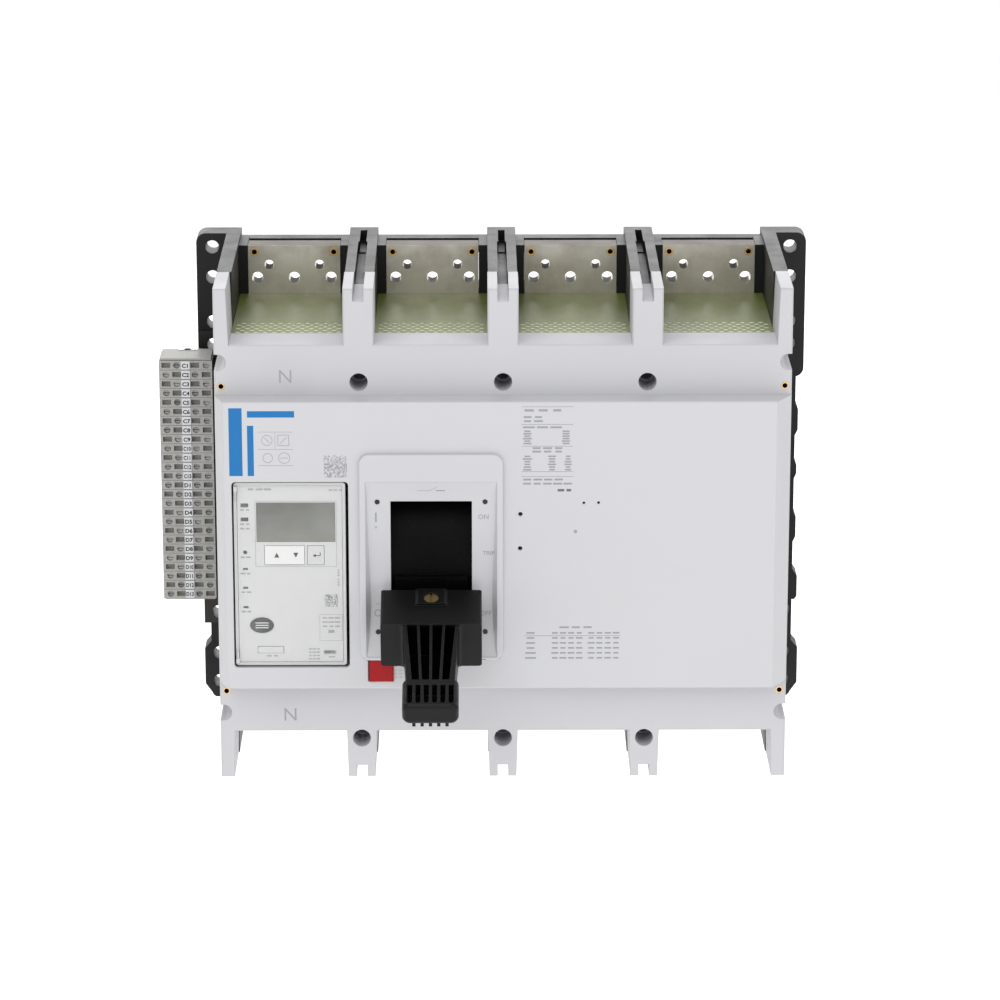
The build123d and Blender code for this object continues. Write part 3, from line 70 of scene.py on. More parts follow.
# %% Camera
CAMERA_PLACE = Vector((-0.02482, -3.46171, 0.96490))
CAMERA_TARGET = Vector((-0.0016, -0.104, -0.0048))
LENS = 152.05


def make_camera():
    """A camera at CAMERA_PLACE that looks at CAMERA_TARGET."""
    data = bpy.data.cameras.new("camera")
    data.lens = LENS
    data.sensor_width = 36.0
    camera = bpy.data.objects.new("camera", data)
    bpy.context.scene.collection.objects.link(camera)
    camera.location = CAMERA_PLACE
    camera.rotation_euler = (CAMERA_TARGET - CAMERA_PLACE).to_track_quat("-Z", "Y").to_euler()
    bpy.context.scene.camera = camera
    print("camera", round((CAMERA_TARGET - CAMERA_PLACE).length, 3), "m from the breaker")


make_camera()

# %% [markdown]
# ## Node trees in a few words
# Shader maths is easier to read as sums than as boxes and wires, so a small class wraps one output
# of a node: adding or multiplying it adds the Math node. Every other node comes from one method,
# which takes the node's type, its settings, and what goes into its sockets.


# %% One wire and one tree
class Wire:
    """One output of a node. Sums and products of it add Math nodes."""

    def __init__(self, tree, socket):
        self.tree = tree
        self.socket = socket

    def maths(self, operation, first, second):
        return self.tree.add("ShaderNodeMath", {"operation": operation}, {0: first, 1: second})

    def __add__(self, other):
        return self.maths("ADD", self, other)

    __radd__ = __add__

    def __mul__(self, other):
        return self.maths("MULTIPLY", self, other)

    __rmul__ = __mul__

    def __sub__(self, other):
        return self.maths("SUBTRACT", self, other)

    def __rsub__(self, other):
        return self.maths("SUBTRACT", other, self)

    def __truediv__(self, other):
        return self.maths("DIVIDE", self, other)


class Tree:
    """A node tree that is filled one call at a time."""

    def __init__(self, nodes):
        self.tree = nodes

    def add(self, kind, settings=None, sockets=None, out=0):
        """Add a node, set it up, feed its sockets and return one of its outputs."""
        node = self.tree.nodes.new(kind)
        for key, value in (settings or {}).items():
            setattr(node, key, value)
        for key, value in (sockets or {}).items():
            self.feed(node.inputs[key], value)
        return Wire(self, node.outputs[out]) if len(node.outputs) else None

    def feed(self, socket, value):
        """Link a wire to a socket, or set the socket's own value."""
        if isinstance(value, Wire):
            self.tree.links.new(value.socket, socket)
        else:
            socket.default_value = value


# %% A finish is a shader tree round one Principled shader
class Finish(Tree):
    """A material that is built from noise, edges and mixes of colour."""

    def __init__(self, name, **constants):
        self.material = bpy.data.materials.new(name)
        self.material.use_nodes = True
        super().__init__(self.material.node_tree)
        self.tree.nodes.clear()
        self.shader = self.tree.nodes.new("ShaderNodeBsdfPrincipled")
        self.end = self.tree.nodes.new("ShaderNodeOutputMaterial")
        self.tree.links.new(self.shader.outputs[0], self.end.inputs[0])
        for key, value in constants.items():
            self.feed(self.shader.inputs[key.replace("_", " ")], value)

    def surface(self, **sockets):
        """Feed sockets of the Principled shader, with _ for a space in their names."""
        for key, value in sockets.items():
            self.feed(self.shader.inputs[key.replace("_", " ")], value)
        return self.material

    def place(self, stretch=(1, 1, 1)):
        """Object coordinates in metres, each axis multiplied by stretch."""
        point = self.add("ShaderNodeTexCoord", out="Object")
        return self.add("ShaderNodeMapping", {}, {"Vector": point, "Scale": stretch})

    def axis(self, name):
        """One coordinate of the point in the row frame, in metres."""
        return self.add("ShaderNodeSeparateXYZ", {}, {0: self.place()}, out=name)

    def noise(self, scale, detail=3.0, stretch=(1, 1, 1)):
        """Smooth noise from 0 to 1, scale features to the metre."""
        return self.add("ShaderNodeTexNoise", {}, {"Vector": self.place(stretch), "Scale": scale,
                                                   "Detail": detail, "Roughness": 0.6}, out=0)

    def spread(self, value, low, high, start=0.0, end=1.0):
        """Map low..high of a wire to start..end, and clamp it."""
        return self.add("ShaderNodeMapRange", {}, {0: value, 1: low, 2: high, 3: start, 4: end})

    def mix(self, first, second, factor):
        """Mix two colours."""
        pair = {6: self.rgba(first), 7: self.rgba(second)}
        return self.add("ShaderNodeMix", {"data_type": "RGBA"}, {0: factor, **pair}, out=2)

    @staticmethod
    def rgba(colour):
        """A colour as four numbers, or a wire as it is."""
        return colour if isinstance(colour, Wire) else (*colour[:3], 1.0)

    def bump(self, height, strength, distance, normal=None):
        """A bump of the surface from a height wire."""
        sockets = {"Height": height, "Strength": strength, "Distance": distance}
        if normal is not None:
            sockets["Normal"] = normal
        return self.add("ShaderNodeBump", {}, sockets)

    def soft_normal(self, radius):
        """The normal with every sharp edge rounded to a radius."""
        return self.add("ShaderNodeBevel", {"samples": 3}, {"Radius": radius})

    def edges(self, soft):
        """1 on a sharp edge and 0 on a flat face, from the rounded normal."""
        flat = self.add("ShaderNodeNewGeometry", out="Normal")
        along = self.add("ShaderNodeVectorMath", {"operation": "DOT_PRODUCT"}, {0: soft, 1: flat},
                         out="Value")
        return 1 - along

    def facing_up(self):
        """1 where a face looks up, 0 on a wall and -1 where it looks down."""
        facing = self.add("ShaderNodeNewGeometry", out="Normal")
        return self.add("ShaderNodeSeparateXYZ", {}, {0: facing}, out="Z")


def tint(colour, share):
    """A colour made lighter (share above 1) or darker."""
    return tuple(min(1.0, channel * share) for channel in colour)


# %% [markdown]
# ## Finishes: moulded plastic
# Moulded covers are never one flat grey. The tool leaves a fine grain, the colour drifts a little
# across a large wall, handling leaves faint marks, and every edge has a small radius that catches
# the light. The grain is a bump, the drift is a wide noise, and the radius is a rounded normal,
# because a real bevel on so many cuts would cost far more faces. The edges are also lightened in
# the colour: partly wear, partly a painted highlight where the radius catches the light.


# %% Moulded plastic
# Grey that edges are lightened towards: partly wear, partly a painted highlight.
WORN_AND_LIT_EDGE_GREY = (0.5, 0.5, 0.5)
DUST = (0.45, 0.45, 0.44)


def moulded(name, colour, rough=0.5, drift=0.05, grain=0.12, edge_wear_and_highlight=0.0, radius=0.5, dust=0.0, shine=0.5):
    """Grained plastic. One argument lightens its edges, partly as wear and partly as a painted highlight; dust
    lightens specks, shine is its gloss.
    """
    made = Finish(name, IOR=1.5, Specular_IOR_Level=shine)
    wide = made.noise(9.0, 4.0)
    colours = made.mix(tint(colour, 1 - drift), tint(colour, 1 + drift), made.spread(wide, 0.3, 0.7))
    soft = made.soft_normal(radius * MM)
    # Lighter edges: partly wear, partly a painted highlight where the edge radius catches the light.
    if edge_wear_and_highlight:
        edge_patches = made.noise(420.0, 3.0)
        worn_and_lit_edge = made.spread(made.edges(soft) * (edge_patches + 0.3), 0.05, 0.32, 0.0, edge_wear_and_highlight)
        colours = made.mix(colours, WORN_AND_LIT_EDGE_GREY, worn_and_lit_edge)
    if dust:
        specks = made.spread(made.noise(1500.0, 2.0), 0.62, 0.78, 0.0, dust)
        colours = made.mix(colours, DUST, specks)
    fine = made.noise(2600.0, 2.0)
    height = fine * 0.7 + made.noise(300.0, 2.0) * 0.3
    roughness = made.spread(made.noise(38.0, 4.0), 0.3, 0.7, rough - 0.06, rough + 0.06)
    return made.surface(Base_Color=colours, Roughness=roughness,
                        Normal=made.bump(height, grain, 0.3 * MM, soft))


BLACK = (0.0042, 0.0042, 0.0050)
GREY = (0.515, 0.515, 0.535)
PANEL_GREY = (0.535, 0.535, 0.555)
finishes = {
    "base": moulded("black_glass_filled", BLACK, rough=0.46, drift=0.2, grain=0.25, edge_wear_and_highlight=0.05, radius=0.7,
                    shine=0.35),
    "cover": moulded("pale_grey_cover", GREY, rough=0.52, drift=0.012, grain=0.10, radius=1.0),
    "panel": moulded("pale_grey_panel", PANEL_GREY, rough=0.50, drift=0.012, grain=0.08, radius=0.8),
    "handle": moulded("black_handle", (0.0032, 0.0032, 0.0036), rough=0.36, drift=0.2, grain=0.12, edge_wear_and_highlight=0.10,
                      radius=0.8, dust=0.02, shine=0.22),
    "shield": moulded("black_shield", (0.0010, 0.0010, 0.0011), rough=0.5, drift=0.3, grain=0.2, edge_wear_and_highlight=0.03,
                      radius=0.5, dust=0.05, shine=0.08),
    "unit": moulded("white_trip_unit", (0.575, 0.58, 0.575), rough=0.42, drift=0.015, grain=0.05, radius=0.4),
    "key": moulded("white_key", (0.72, 0.72, 0.715), rough=0.38, drift=0.02, grain=0.04, radius=0.4),
    "strip": moulded("grey_terminal", (0.40, 0.395, 0.37), rough=0.50, drift=0.1, grain=0.15, edge_wear_and_highlight=0.2,
                     radius=0.25, dust=0.1),
    "tag": moulded("white_tag", (0.74, 0.75, 0.77), rough=0.45, drift=0.03, grain=0.04, radius=0.2),
    "dark": moulded("dark_plastic", (0.03, 0.03, 0.033), rough=0.42, drift=0.15, grain=0.15, radius=0.4),
    "red": moulded("red_button", (0.31, 0.004, 0.006), rough=0.42, drift=0.08, grain=0.06, radius=0.6,
                   shine=0.25),
    "rubber": moulded("black_rubber", (0.012, 0.012, 0.012), rough=0.75, drift=0.2, grain=0.3, radius=0.6),
    "lamp": moulded("smoked_lamp", (0.05, 0.05, 0.052), rough=0.2, drift=0.1, grain=0.02, radius=0.2),
    "fibre": moulded("red_fibre", (0.30, 0.10, 0.045), rough=0.6, drift=0.25, grain=0.3, radius=0.4),
    "board": moulded("green_board", (0.01, 0.10, 0.035), rough=0.35, drift=0.2, grain=0.1, radius=0.2),
    "lead": moulded("orange_lead", (0.62, 0.105, 0.018), rough=0.4, drift=0.2, grain=0.05, radius=0.2),
}
print(len(finishes), "plastic finishes")

# %% [markdown]
# ## Finishes: metal
# The terminal plates are silver-plated copper. Plating is never mirror clean: it is brushed one way,
# it is warmer and duller where it has tarnished, and it holds fingerprints. Long thin noise gives the
# brushing, wide noise gives the tarnish.


# %% Metal
# Depths behind a bore's mouth where its painted shade starts and where it is full.
BORE_SHADE_START = 0.2 * MM
BORE_SHADE_FULL = 2.5 * MM


def metal(name, colour, tarnish, rough=0.28, brushed=(1, 1, 1), stain=0.5, scratch=0.15, radius=0.3,
          mouth=None, sawn=None):
    """Plated or plain metal. brushed stretches its brushing, and stain is how far it has tarnished.

    A bore gets painted shade behind its mouth, a Y in metres. sawn is the dull colour of the faces that look
    up.
    """
    made = Finish(name, Metallic=1.0)
    wide = made.noise(30.0, 5.0)
    stained = made.spread(wide, 0.42, 0.72, 0.0, stain)
    lines = made.noise(900.0, 3.0, brushed)
    fine = made.mix(tint(colour, 0.93), tint(colour, 1.05), lines)
    roughness = rough - 0.05 + 0.1 * lines + 0.18 * stained
    soft = made.soft_normal(radius * MM)
    colours = made.mix(fine, tarnish, stained)
    # Painted shade: inside a bore the colour darkens to near black, where shade falls.
    if mouth is not None:
        bore_shade = made.spread(made.axis("Y"), mouth + BORE_SHADE_START, mouth + BORE_SHADE_FULL)
        colours = made.mix(colours, tint(tarnish, 0.05), bore_shade)
    if sawn is not None:
        up = made.spread(made.facing_up(), 0.5, 0.8)
        colours = made.mix(colours, sawn, up)
        made.surface(Metallic=1 - up)
        roughness = roughness + 0.3 * up
    return made.surface(Base_Color=colours, Roughness=roughness,
                        Normal=made.bump(lines, scratch, 0.1 * MM, soft))


BRASS = (0.82, 0.56, 0.22)
OLD_BRASS = (0.40, 0.24, 0.09)
finishes.update({
    "plating": metal("tarnished_plating", (0.66, 0.63, 0.57), (0.40, 0.345, 0.27), rough=0.30,
                     brushed=(1, 1, 0.06), stain=0.8, scratch=0.12, sawn=(0.17, 0.15, 0.13)),
    "zinc": metal("zinc_steel", (0.62, 0.62, 0.63), (0.42, 0.42, 0.43), rough=0.3),
    "dull_zinc": metal("dull_zinc", (0.38, 0.38, 0.39), (0.10, 0.10, 0.10), rough=0.42, stain=0.8),
    "insert": metal("cover_insert", BRASS, OLD_BRASS, rough=0.25, stain=0.4,
                    mouth=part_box("brass_inserts")[0].y),
    "plate_insert": metal("plate_insert", (0.80, 0.55, 0.22), OLD_BRASS, rough=0.25, stain=0.4,
                          mouth=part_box("terminal_inserts")[0].y),
    "dark_brass": metal("worn_brass", (0.50, 0.36, 0.16), (0.16, 0.11, 0.05), rough=0.35, stain=0.8),
    "silver": metal("silver_contact", (0.80, 0.79, 0.76), (0.5, 0.47, 0.42), rough=0.3),
    "copper": metal("copper", (0.80, 0.42, 0.27), (0.35, 0.16, 0.1), rough=0.3, brushed=(1, 0.1, 1)),
    "spring": metal("spring_steel", (0.42, 0.42, 0.43), (0.2, 0.19, 0.18), rough=0.35),
    "black_steel": metal("blackened_steel", (0.05, 0.05, 0.052), (0.1, 0.07, 0.05), rough=0.45, stain=0.25),
})
print(len(finishes), "finishes with the metals")

# %% [markdown]
# ## Finishes: the glass laminate vent screens
# The floors of the terminal compartments are sheets of green glass laminate: woven glass cloth
# in resin. The weave is two crossing waves that show faintly under a glossy resin skin. The cut walls
# of the vent holes are raw and pale, so any face that doesn't look up or down gets a paler green.


# %% Glass laminate
def laminate():
    """Green woven glass in resin, pale where it is cut."""
    made = Finish("green_glass_laminate", IOR=1.5, Coat_Roughness=0.25)
    waves = {"Vector": made.place(), "Scale": 190.0, "Distortion": 1.5, "Detail": 2.0}
    warp, weft = [made.add("ShaderNodeTexWave", {"bands_direction": way}, waves, out="Fac") for way in "XY"]
    cloth = warp * weft
    cloudy = made.spread(made.noise(55.0, 4.0, (1, 0.5, 1)), 0.3, 0.75)
    green = made.mix((0.095, 0.115, 0.020), (0.170, 0.200, 0.050), cloudy * 0.8 + cloth * 0.2)
    up = made.facing_up()
    cut = 1 - made.spread(up * up, 0.2, 0.6)
    colour = made.mix(green, (0.36, 0.43, 0.19), cut)
    return made.surface(Base_Color=colour, Roughness=0.42 + 0.2 * cut, Coat_Weight=0.12 - 0.1 * cut,
                        Normal=made.bump(cloth, 0.05, 0.15 * MM))


finishes["laminate"] = laminate()
# The pale green of the painted light in the gas holes.
finishes["pale_green"] = moulded("pale_green_resin", (0.52, 0.56, 0.36), rough=0.4, drift=0.25, grain=0.1,
                                 radius=0.2)

# %% [markdown]
# ## Finishes: display glass and the clear cover
# The display is off, so its glass is a dark grey green under a glossy face, with a slow gradient of painted
# shade.
# The hinged cover is clear, with faint haze and hairlines: only its edges are easy to see, and their sheen is
# painted as paler, less clear edges.


# %% Display glass and clear cover
def display_glass(box):
    """An unlit liquid crystal display, with painted shade darker towards its upper left corner."""
    made = Finish("display_glass", IOR=1.5, Coat_Weight=0.6, Coat_Roughness=0.04)
    low, high = box
    across = made.spread(made.axis("X"), low.x, high.x)
    up = made.spread(made.axis("Z"), low.z, high.z)
    # Painted shade: the glass colour darkens towards the upper left.
    shade = made.spread(across * 0.5 - up + made.noise(20.0, 2.0) * 0.3, -0.75, 0.35)
    colour = made.mix((0.062, 0.066, 0.050), (0.155, 0.160, 0.130), shade)
    return made.surface(Base_Color=colour, Roughness=made.spread(made.noise(400.0), 0.3, 0.7, 0.14, 0.22))


def clear_plastic():
    """Clear moulding with faint haze, and a painted sheen that makes its edges paler and less clear."""
    made = Finish("clear_cover", IOR=1.5)
    haze = made.spread(made.noise(60.0, 4.0), 0.35, 0.7, 0.04, 0.08)
    soft = made.soft_normal(0.4 * MM)
    # Painted sheen: near an edge the cover is less clear, so its pale colour shows there.
    painted_edge_sheen = made.spread(made.edges(soft), 0.02, 0.25, 0.0, 0.4)
    return made.surface(Base_Color=made.mix((0.74, 0.75, 0.75), (0.84, 0.85, 0.85), made.noise(30.0)),
                        Roughness=made.spread(made.noise(500.0), 0.3, 0.7, 0.08, 0.16), Alpha=haze + painted_edge_sheen)


finishes["display"] = display_glass(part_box("lcd_display"))
finishes["clear"] = clear_plastic()

# %% [markdown]
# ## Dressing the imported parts
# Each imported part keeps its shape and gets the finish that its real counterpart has.

# %% Dress every node
DRESS = {
    "base": "base", "cover": "cover", "brass_inserts": "insert", "cover_screws": "zinc",
    "front_panel": "panel", "escutcheon": "panel", "escutcheon_screws": "black_steel",
    "trip_button": "red", "trip_button_spring": "spring", "trip_bar": "dark", "trip_actuator": "dark",
    "line_conductors": "plating", "load_conductors": "plating", "terminal_inserts": "plate_insert",
    "line_vent_screens": "laminate", "load_vent_screens": "laminate", "fixed_contacts": "silver",
    "contact_fingers": "copper", "moving_contacts": "silver", "crossbar": "dark",
    "crossbar_bearings": "dark", "arc_grids": "zinc", "arc_side_plates": "fibre",
    "flexible_shunts": "copper", "current_sensors": "dark", "mechanism_plates": "zinc",
    "mechanism_spacers": "zinc", "handle_pivot_pin": "zinc", "toggle_links": "zinc",
    "operating_springs": "spring", "cradle": "zinc", "handle_lever": "zinc", "handle_shield": "shield",
    "handle_extension": "handle", "handle_screw": "dark_brass", "trip_unit_housing": "unit",
    "trip_unit_fascia": "unit", "lcd_display": "display", "arrow_key": "key", "enter_key": "unit",
    "status_leds": "lamp", "circuit_board": "board", "battery_tray": "unit", "battery_cell": "zinc",
    "battery_tab": "dark", "usb_socket": "zinc", "clear_cover": "clear", "clear_cover_pins": "zinc",
    "auxiliary_switches": "dark", "terminal_blocks_c": "strip", "terminal_blocks_d": "strip",
    "clamp_screws": "dull_zinc", "marker_tags": "tag", "din_rail": "zinc", "end_stops": "strip",
    "rail_brackets": "black_steel", "lead_grommet": "rubber", "control_leads": "lead",
}


def dress(node, finish):
    """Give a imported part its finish."""
    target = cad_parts[node]
    if not target.data.materials:
        target.data.materials.append(finish)
    for place in target.material_slots:
        place.material = finish


for node in sorted(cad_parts):
    dress(node, finishes[DRESS[node]])
print(len(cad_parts), "parts dressed")

# %% [markdown]
# ## Printing ink
# The marks on the breaker are pad printed, a film of ink a few hundredths of a millimetre thick.
# Each mark is a thin closed slab that stands just proud of its surface. Ink is matt and slightly
# uneven, so its finish has speckle in its colour.

# %% Ink
INK = 0.06
ROOT = 0.3
PRINT_SINK = INK * MM / 3
LETTER_SINK = INK * MM / 4


def ink(name, colour, rough=0.55):
    """Pad printing ink, a little uneven."""
    made = Finish(name, IOR=1.45)
    speckle = made.spread(made.noise(1800.0, 2.0), 0.35, 0.7)
    return made.surface(Base_Color=made.mix(tint(colour, 0.9), tint(colour, 1.12), speckle),
                        Roughness=made.spread(made.noise(90.0), 0.3, 0.7, rough - 0.05, rough + 0.05))


finishes.update({
    "blue_ink": ink("blue_ink", (0.002, 0.150, 0.41)),
    "grey_ink": ink("grey_ink", (0.30, 0.30, 0.31)),
    "pale_ink": ink("pale_ink", (0.45, 0.45, 0.46)),
    "dark_ink": ink("dark_ink", (0.13, 0.13, 0.135)),
    "black_ink": ink("black_ink", (0.02, 0.02, 0.021)),
    "white_ink": ink("white_ink", (0.75, 0.75, 0.75)),
})


# %% Shapes of ink
def rect(x0, x1, z0, z1):
    """A rectangle's corners."""
    return [(x0, z0), (x1, z0), (x1, z1), (x0, z1)]


def outline(x0, x1, z0, z1, width):
    """Four bars round a rectangle."""
    return [rect(x0, x1, z1 - width, z1), rect(x0, x1, z0, z0 + width),
            rect(x0, x0 + width, z0 + width, z1 - width), rect(x1 - width, x1, z0 + width, z1 - width)]


def disc(x, z, radius, sides=24):
    """A round dot."""
    turns = [2 * math.pi * i / sides for i in range(sides)]
    return [(x + radius * math.cos(t), z + radius * math.sin(t)) for t in turns]


def ring(x, z, radius, width, sides=24):
    """A circle's line, as short bars."""
    bars = []
    for i in range(sides):
        ends = [2 * math.pi * (i + k) / sides for k in (0, 1)]
        inner = [(x + (radius - width) * math.cos(t), z + (radius - width) * math.sin(t)) for t in ends]
        outer = [(x + radius * math.cos(t), z + radius * math.sin(t)) for t in reversed(ends)]
        bars.append(inner + outer)
    return bars


def stroke(x0, z0, x1, z1, width):
    """A straight line with a width."""
    along = Vector((x1 - x0, z1 - z0)).normalized() * width / 2
    side = Vector((-along.y, along.x))
    return [(x0 - side.x, z0 - side.y), (x1 - side.x, z1 - side.y), (x1 + side.x, z1 + side.y),
            (x0 + side.x, z0 + side.y)]


def slabs(shapes, face, thick=INK):
    """A mesh of closed slabs: each shape is a list of (x, z) in mm, and face is their Y in metres.

    A share ROOT of the thickness is sunk behind the face, so that no gap shows.
    """
    built = bmesh.new()
    for shape in shapes:
        front = [built.verts.new((x * MM, face - thick * MM, z * MM)) for x, z in shape]
        rear = [built.verts.new((x * MM, face + ROOT * thick * MM, z * MM)) for x, z in shape]
        built.faces.new(front)
        built.faces.new(rear[::-1])
        for i in range(len(shape)):
            j = (i + 1) % len(shape)
            built.faces.new((front[j], front[i], rear[i], rear[j]))
    bmesh.ops.recalc_face_normals(built, faces=built.faces)
    mesh = bpy.data.meshes.new("slabs")
    built.to_mesh(mesh)
    built.free()
    return mesh


def piece(name, mesh, finish, body="case"):
    """Put a finished mesh in the scene and let it ride on a body."""
    mesh.materials.clear()
    mesh.materials.append(finishes[finish])
    made = bpy.data.objects.new(name, mesh)
    bpy.context.scene.collection.objects.link(made)
    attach(made, body)
    print(name, len(mesh.polygons), "faces on", body)
    return made


def lettering(text, x, z, height, face, align="LEFT", weight=0.0, slim=1.0):
    """Letters of a cap height in mm, printed at (x, z) on a face, as a mesh."""
    curve = bpy.data.curves.new("letters", "FONT")
    curve.body = text
    curve.align_x = align
    curve.resolution_u = 3
    curve.offset = weight
    holder = bpy.data.objects.new("letters", curve)
    bpy.context.scene.collection.objects.link(holder)
    bpy.context.view_layer.update()
    top = holder.dimensions.y
    curve.extrude = INK * top / height / 2
    bpy.context.view_layer.update()
    mesh = bpy.data.meshes.new_from_object(holder.evaluated_get(bpy.context.evaluated_depsgraph_get()))
    bpy.data.objects.remove(holder)
    bpy.data.curves.remove(curve)
    size = height * MM / top
    stand = Matrix.Rotation(math.radians(90), 4, "X")
    narrow = Matrix.Scale(slim, 4, (1, 0, 0))
    at = Matrix.Translation((x * MM, face - LETTER_SINK, z * MM))
    mesh.transform(at @ narrow @ stand @ Matrix.Scale(size, 4))
    return mesh


def joined(meshes):
    """Several meshes as one."""
    built = bmesh.new()
    for mesh in meshes:
        built.from_mesh(mesh)
    whole = bpy.data.meshes.new("joined")
    built.to_mesh(whole)
    built.free()
    return whole


PANEL_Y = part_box("front_panel")[0].y
PAD_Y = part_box("escutcheon")[0].y
COVER_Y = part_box("cover")[0].y
FASCIA_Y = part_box("trip_unit_fascia")[0].y
TAG_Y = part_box("marker_tags")[0].y
print("faces in mm:", [round(y / MM, 2) for y in (PANEL_Y, PAD_Y, COVER_Y, FASCIA_Y, TAG_Y)])

# %% [markdown]
# ## Marks on the front panel and the cover
# Two blue bars, a plain blue rule and four plain signs between thin rules stand at the upper left.
# The neutral pole is marked N at both ends of the cover. A small grey dot sits right of the window.
# Places are in mm in the breaker's own frame: a rectangle is left, right, bottom, top.

# %% Bars, rule, neutral marks, signs
BLUE_BARS = [(-216.5, -206, 56.8, 112.2), (-202, -197, 56.8, 97.9)]
BLUE_RULE = (-201.8, -164.7, 104.6, 109.8)
NEUTRAL_HEIGHT = 10.5
NEUTRAL_PLACES = [(-171.3, 132.4), (-171.0, -147.9)]
DOT_PLACE = (57.3, 10.5)
DOT_RADIUS = 1.4
SIGN_LINE = 0.45
THIN_RULE = 0.3

piece("blue_bars", slabs([rect(*bar) for bar in BLUE_BARS], PANEL_Y), "blue_ink")
piece("blue_rule", slabs([rect(*BLUE_RULE)], PANEL_Y), "blue_ink")
neutral = [lettering("N", x, z, NEUTRAL_HEIGHT, COVER_Y, "CENTER") for x, z in NEUTRAL_PLACES]
piece("neutral_marks", joined(neutral), "grey_ink")
piece("centre_dot", slabs([disc(*DOT_PLACE, DOT_RADIUS)], PANEL_Y), "grey_ink")
signs = ring(-186.5, 86, 4.4, SIGN_LINE) + outline(-178, -169, 81.5, 90.5, SIGN_LINE)
signs += [stroke(-184.5, 84, -188.5, 88, SIGN_LINE)]
signs += ring(-186, 71.5, 4, SIGN_LINE) + ring(-173, 71.5, 4.6, SIGN_LINE)
signs += [stroke(-176, 71.5, -170, 71.5, SIGN_LINE), stroke(-176, 83.5, -171, 88.5, SIGN_LINE)]
signs += [rect(-194, -166, z, z + THIN_RULE) for z in (92.6, 78.4, 65.2)] + [rect(-180.2, -179.9, 79, 92)]
piece("plain_signs", slabs(signs, PANEL_Y), "grey_ink")

# %% [markdown]
# ## Small print with Geometry Nodes
# The rating label is many rows of print too small to read. Each row is a line of short bars of
# random length. A Geometry Nodes tree lays the bars out from named inputs, so that one tree
# prints every label: a grid of points, a bar on each point, and a random width for each bar.
# A second tree prints square codes, and a third sets a disc on each point of a mesh.


# %% The trees for small print, codes and discs
UPRIGHT = (math.pi / 2, 0, 0)
SHORT_WORD = 0.55
LONG_WORD = 0.92
CELL_SHARE = 0.96
DISC_SIDES = 12


def tree_with_inputs(name, kinds):
    """A new Geometry Nodes tree with one input for each name, of the socket type it is paired with."""
    nodes = bpy.data.node_groups.new(name, "GeometryNodeTree")
    nodes.interface.new_socket("Geometry", in_out="INPUT", socket_type="NodeSocketGeometry")
    for label, kind in kinds.items():
        nodes.interface.new_socket(label, in_out="INPUT", socket_type=kind)
    nodes.interface.new_socket("Geometry", in_out="OUTPUT", socket_type="NodeSocketGeometry")
    tree = Tree(nodes)
    tree.start = nodes.nodes.new("NodeGroupInput")
    tree.end = nodes.nodes.new("NodeGroupOutput")
    return tree


def given(tree, label):
    """One named input of a tree."""
    return Wire(tree, tree.start.outputs[label])


def close_tree(tree, geometry, finish):
    """End a tree with real geometry and a material."""
    real = tree.add("GeometryNodeRealizeInstances", {}, {0: geometry})
    last = tree.add("GeometryNodeSetMaterial", {}, {"Geometry": real, "Material": finish})
    tree.feed(tree.end.inputs[0], last)


def print_tree():
    """Bars of random width on a grid of points in the XZ plane."""
    kinds = {"Words": "NodeSocketInt", "Rows": "NodeSocketInt", "Width": "NodeSocketFloat",
             "Pitch": "NodeSocketFloat", "Height": "NodeSocketFloat", "Letter": "NodeSocketFloat",
             "Thickness": "NodeSocketFloat", "Seed": "NodeSocketInt", "Ink": "NodeSocketMaterial"}
    tree = tree_with_inputs("rows_of_print", kinds)
    width, height = given(tree, "Width"), given(tree, "Height")
    grid = tree.add("GeometryNodeMeshGrid", {}, {"Size X": width, "Size Y": height,
                                                 "Vertices X": given(tree, "Words"),
                                                 "Vertices Y": given(tree, "Rows")})
    upright = tree.add("GeometryNodeTransform", {}, {"Geometry": grid, "Rotation": UPRIGHT})
    size = tree.add("ShaderNodeCombineXYZ", {}, {"X": given(tree, "Pitch"), "Y": given(tree, "Thickness"),
                                                 "Z": given(tree, "Letter")})
    bar = tree.add("GeometryNodeMeshCube", {}, {"Size": size})
    share = tree.add("FunctionNodeRandomValue", {"data_type": "FLOAT"},
                     {2: SHORT_WORD, 3: LONG_WORD, "Seed": given(tree, "Seed")}, out=1)
    stretch = tree.add("ShaderNodeCombineXYZ", {}, {"X": share, "Y": 1.0, "Z": 1.0})
    placed = tree.add("GeometryNodeInstanceOnPoints", {}, {"Points": upright, "Instance": bar,
                                                           "Scale": stretch})
    close_tree(tree, placed, given(tree, "Ink"))
    return tree.tree


def code_tree():
    """A square of cells, about half of them printed."""
    kinds = {"Cells": "NodeSocketInt", "Side": "NodeSocketFloat", "Thickness": "NodeSocketFloat",
             "Seed": "NodeSocketInt", "Ink": "NodeSocketMaterial"}
    tree = tree_with_inputs("square_of_cells", kinds)
    side, cells = given(tree, "Side"), given(tree, "Cells")
    grid = tree.add("GeometryNodeMeshGrid", {}, {"Size X": side, "Size Y": side,
                                                 "Vertices X": cells, "Vertices Y": cells})
    upright = tree.add("GeometryNodeTransform", {}, {"Geometry": grid, "Rotation": UPRIGHT})
    cell = side / cells * CELL_SHARE
    size = tree.add("ShaderNodeCombineXYZ", {}, {"X": cell, "Y": given(tree, "Thickness"), "Z": cell})
    box = tree.add("GeometryNodeMeshCube", {}, {"Size": size})
    chosen = tree.add("FunctionNodeRandomValue", {"data_type": "BOOLEAN"},
                      {"Probability": 0.5, "Seed": given(tree, "Seed")}, out=3)
    placed = tree.add("GeometryNodeInstanceOnPoints", {}, {"Points": upright, "Selection": chosen,
                                                           "Instance": box})
    close_tree(tree, placed, given(tree, "Ink"))
    return tree.tree


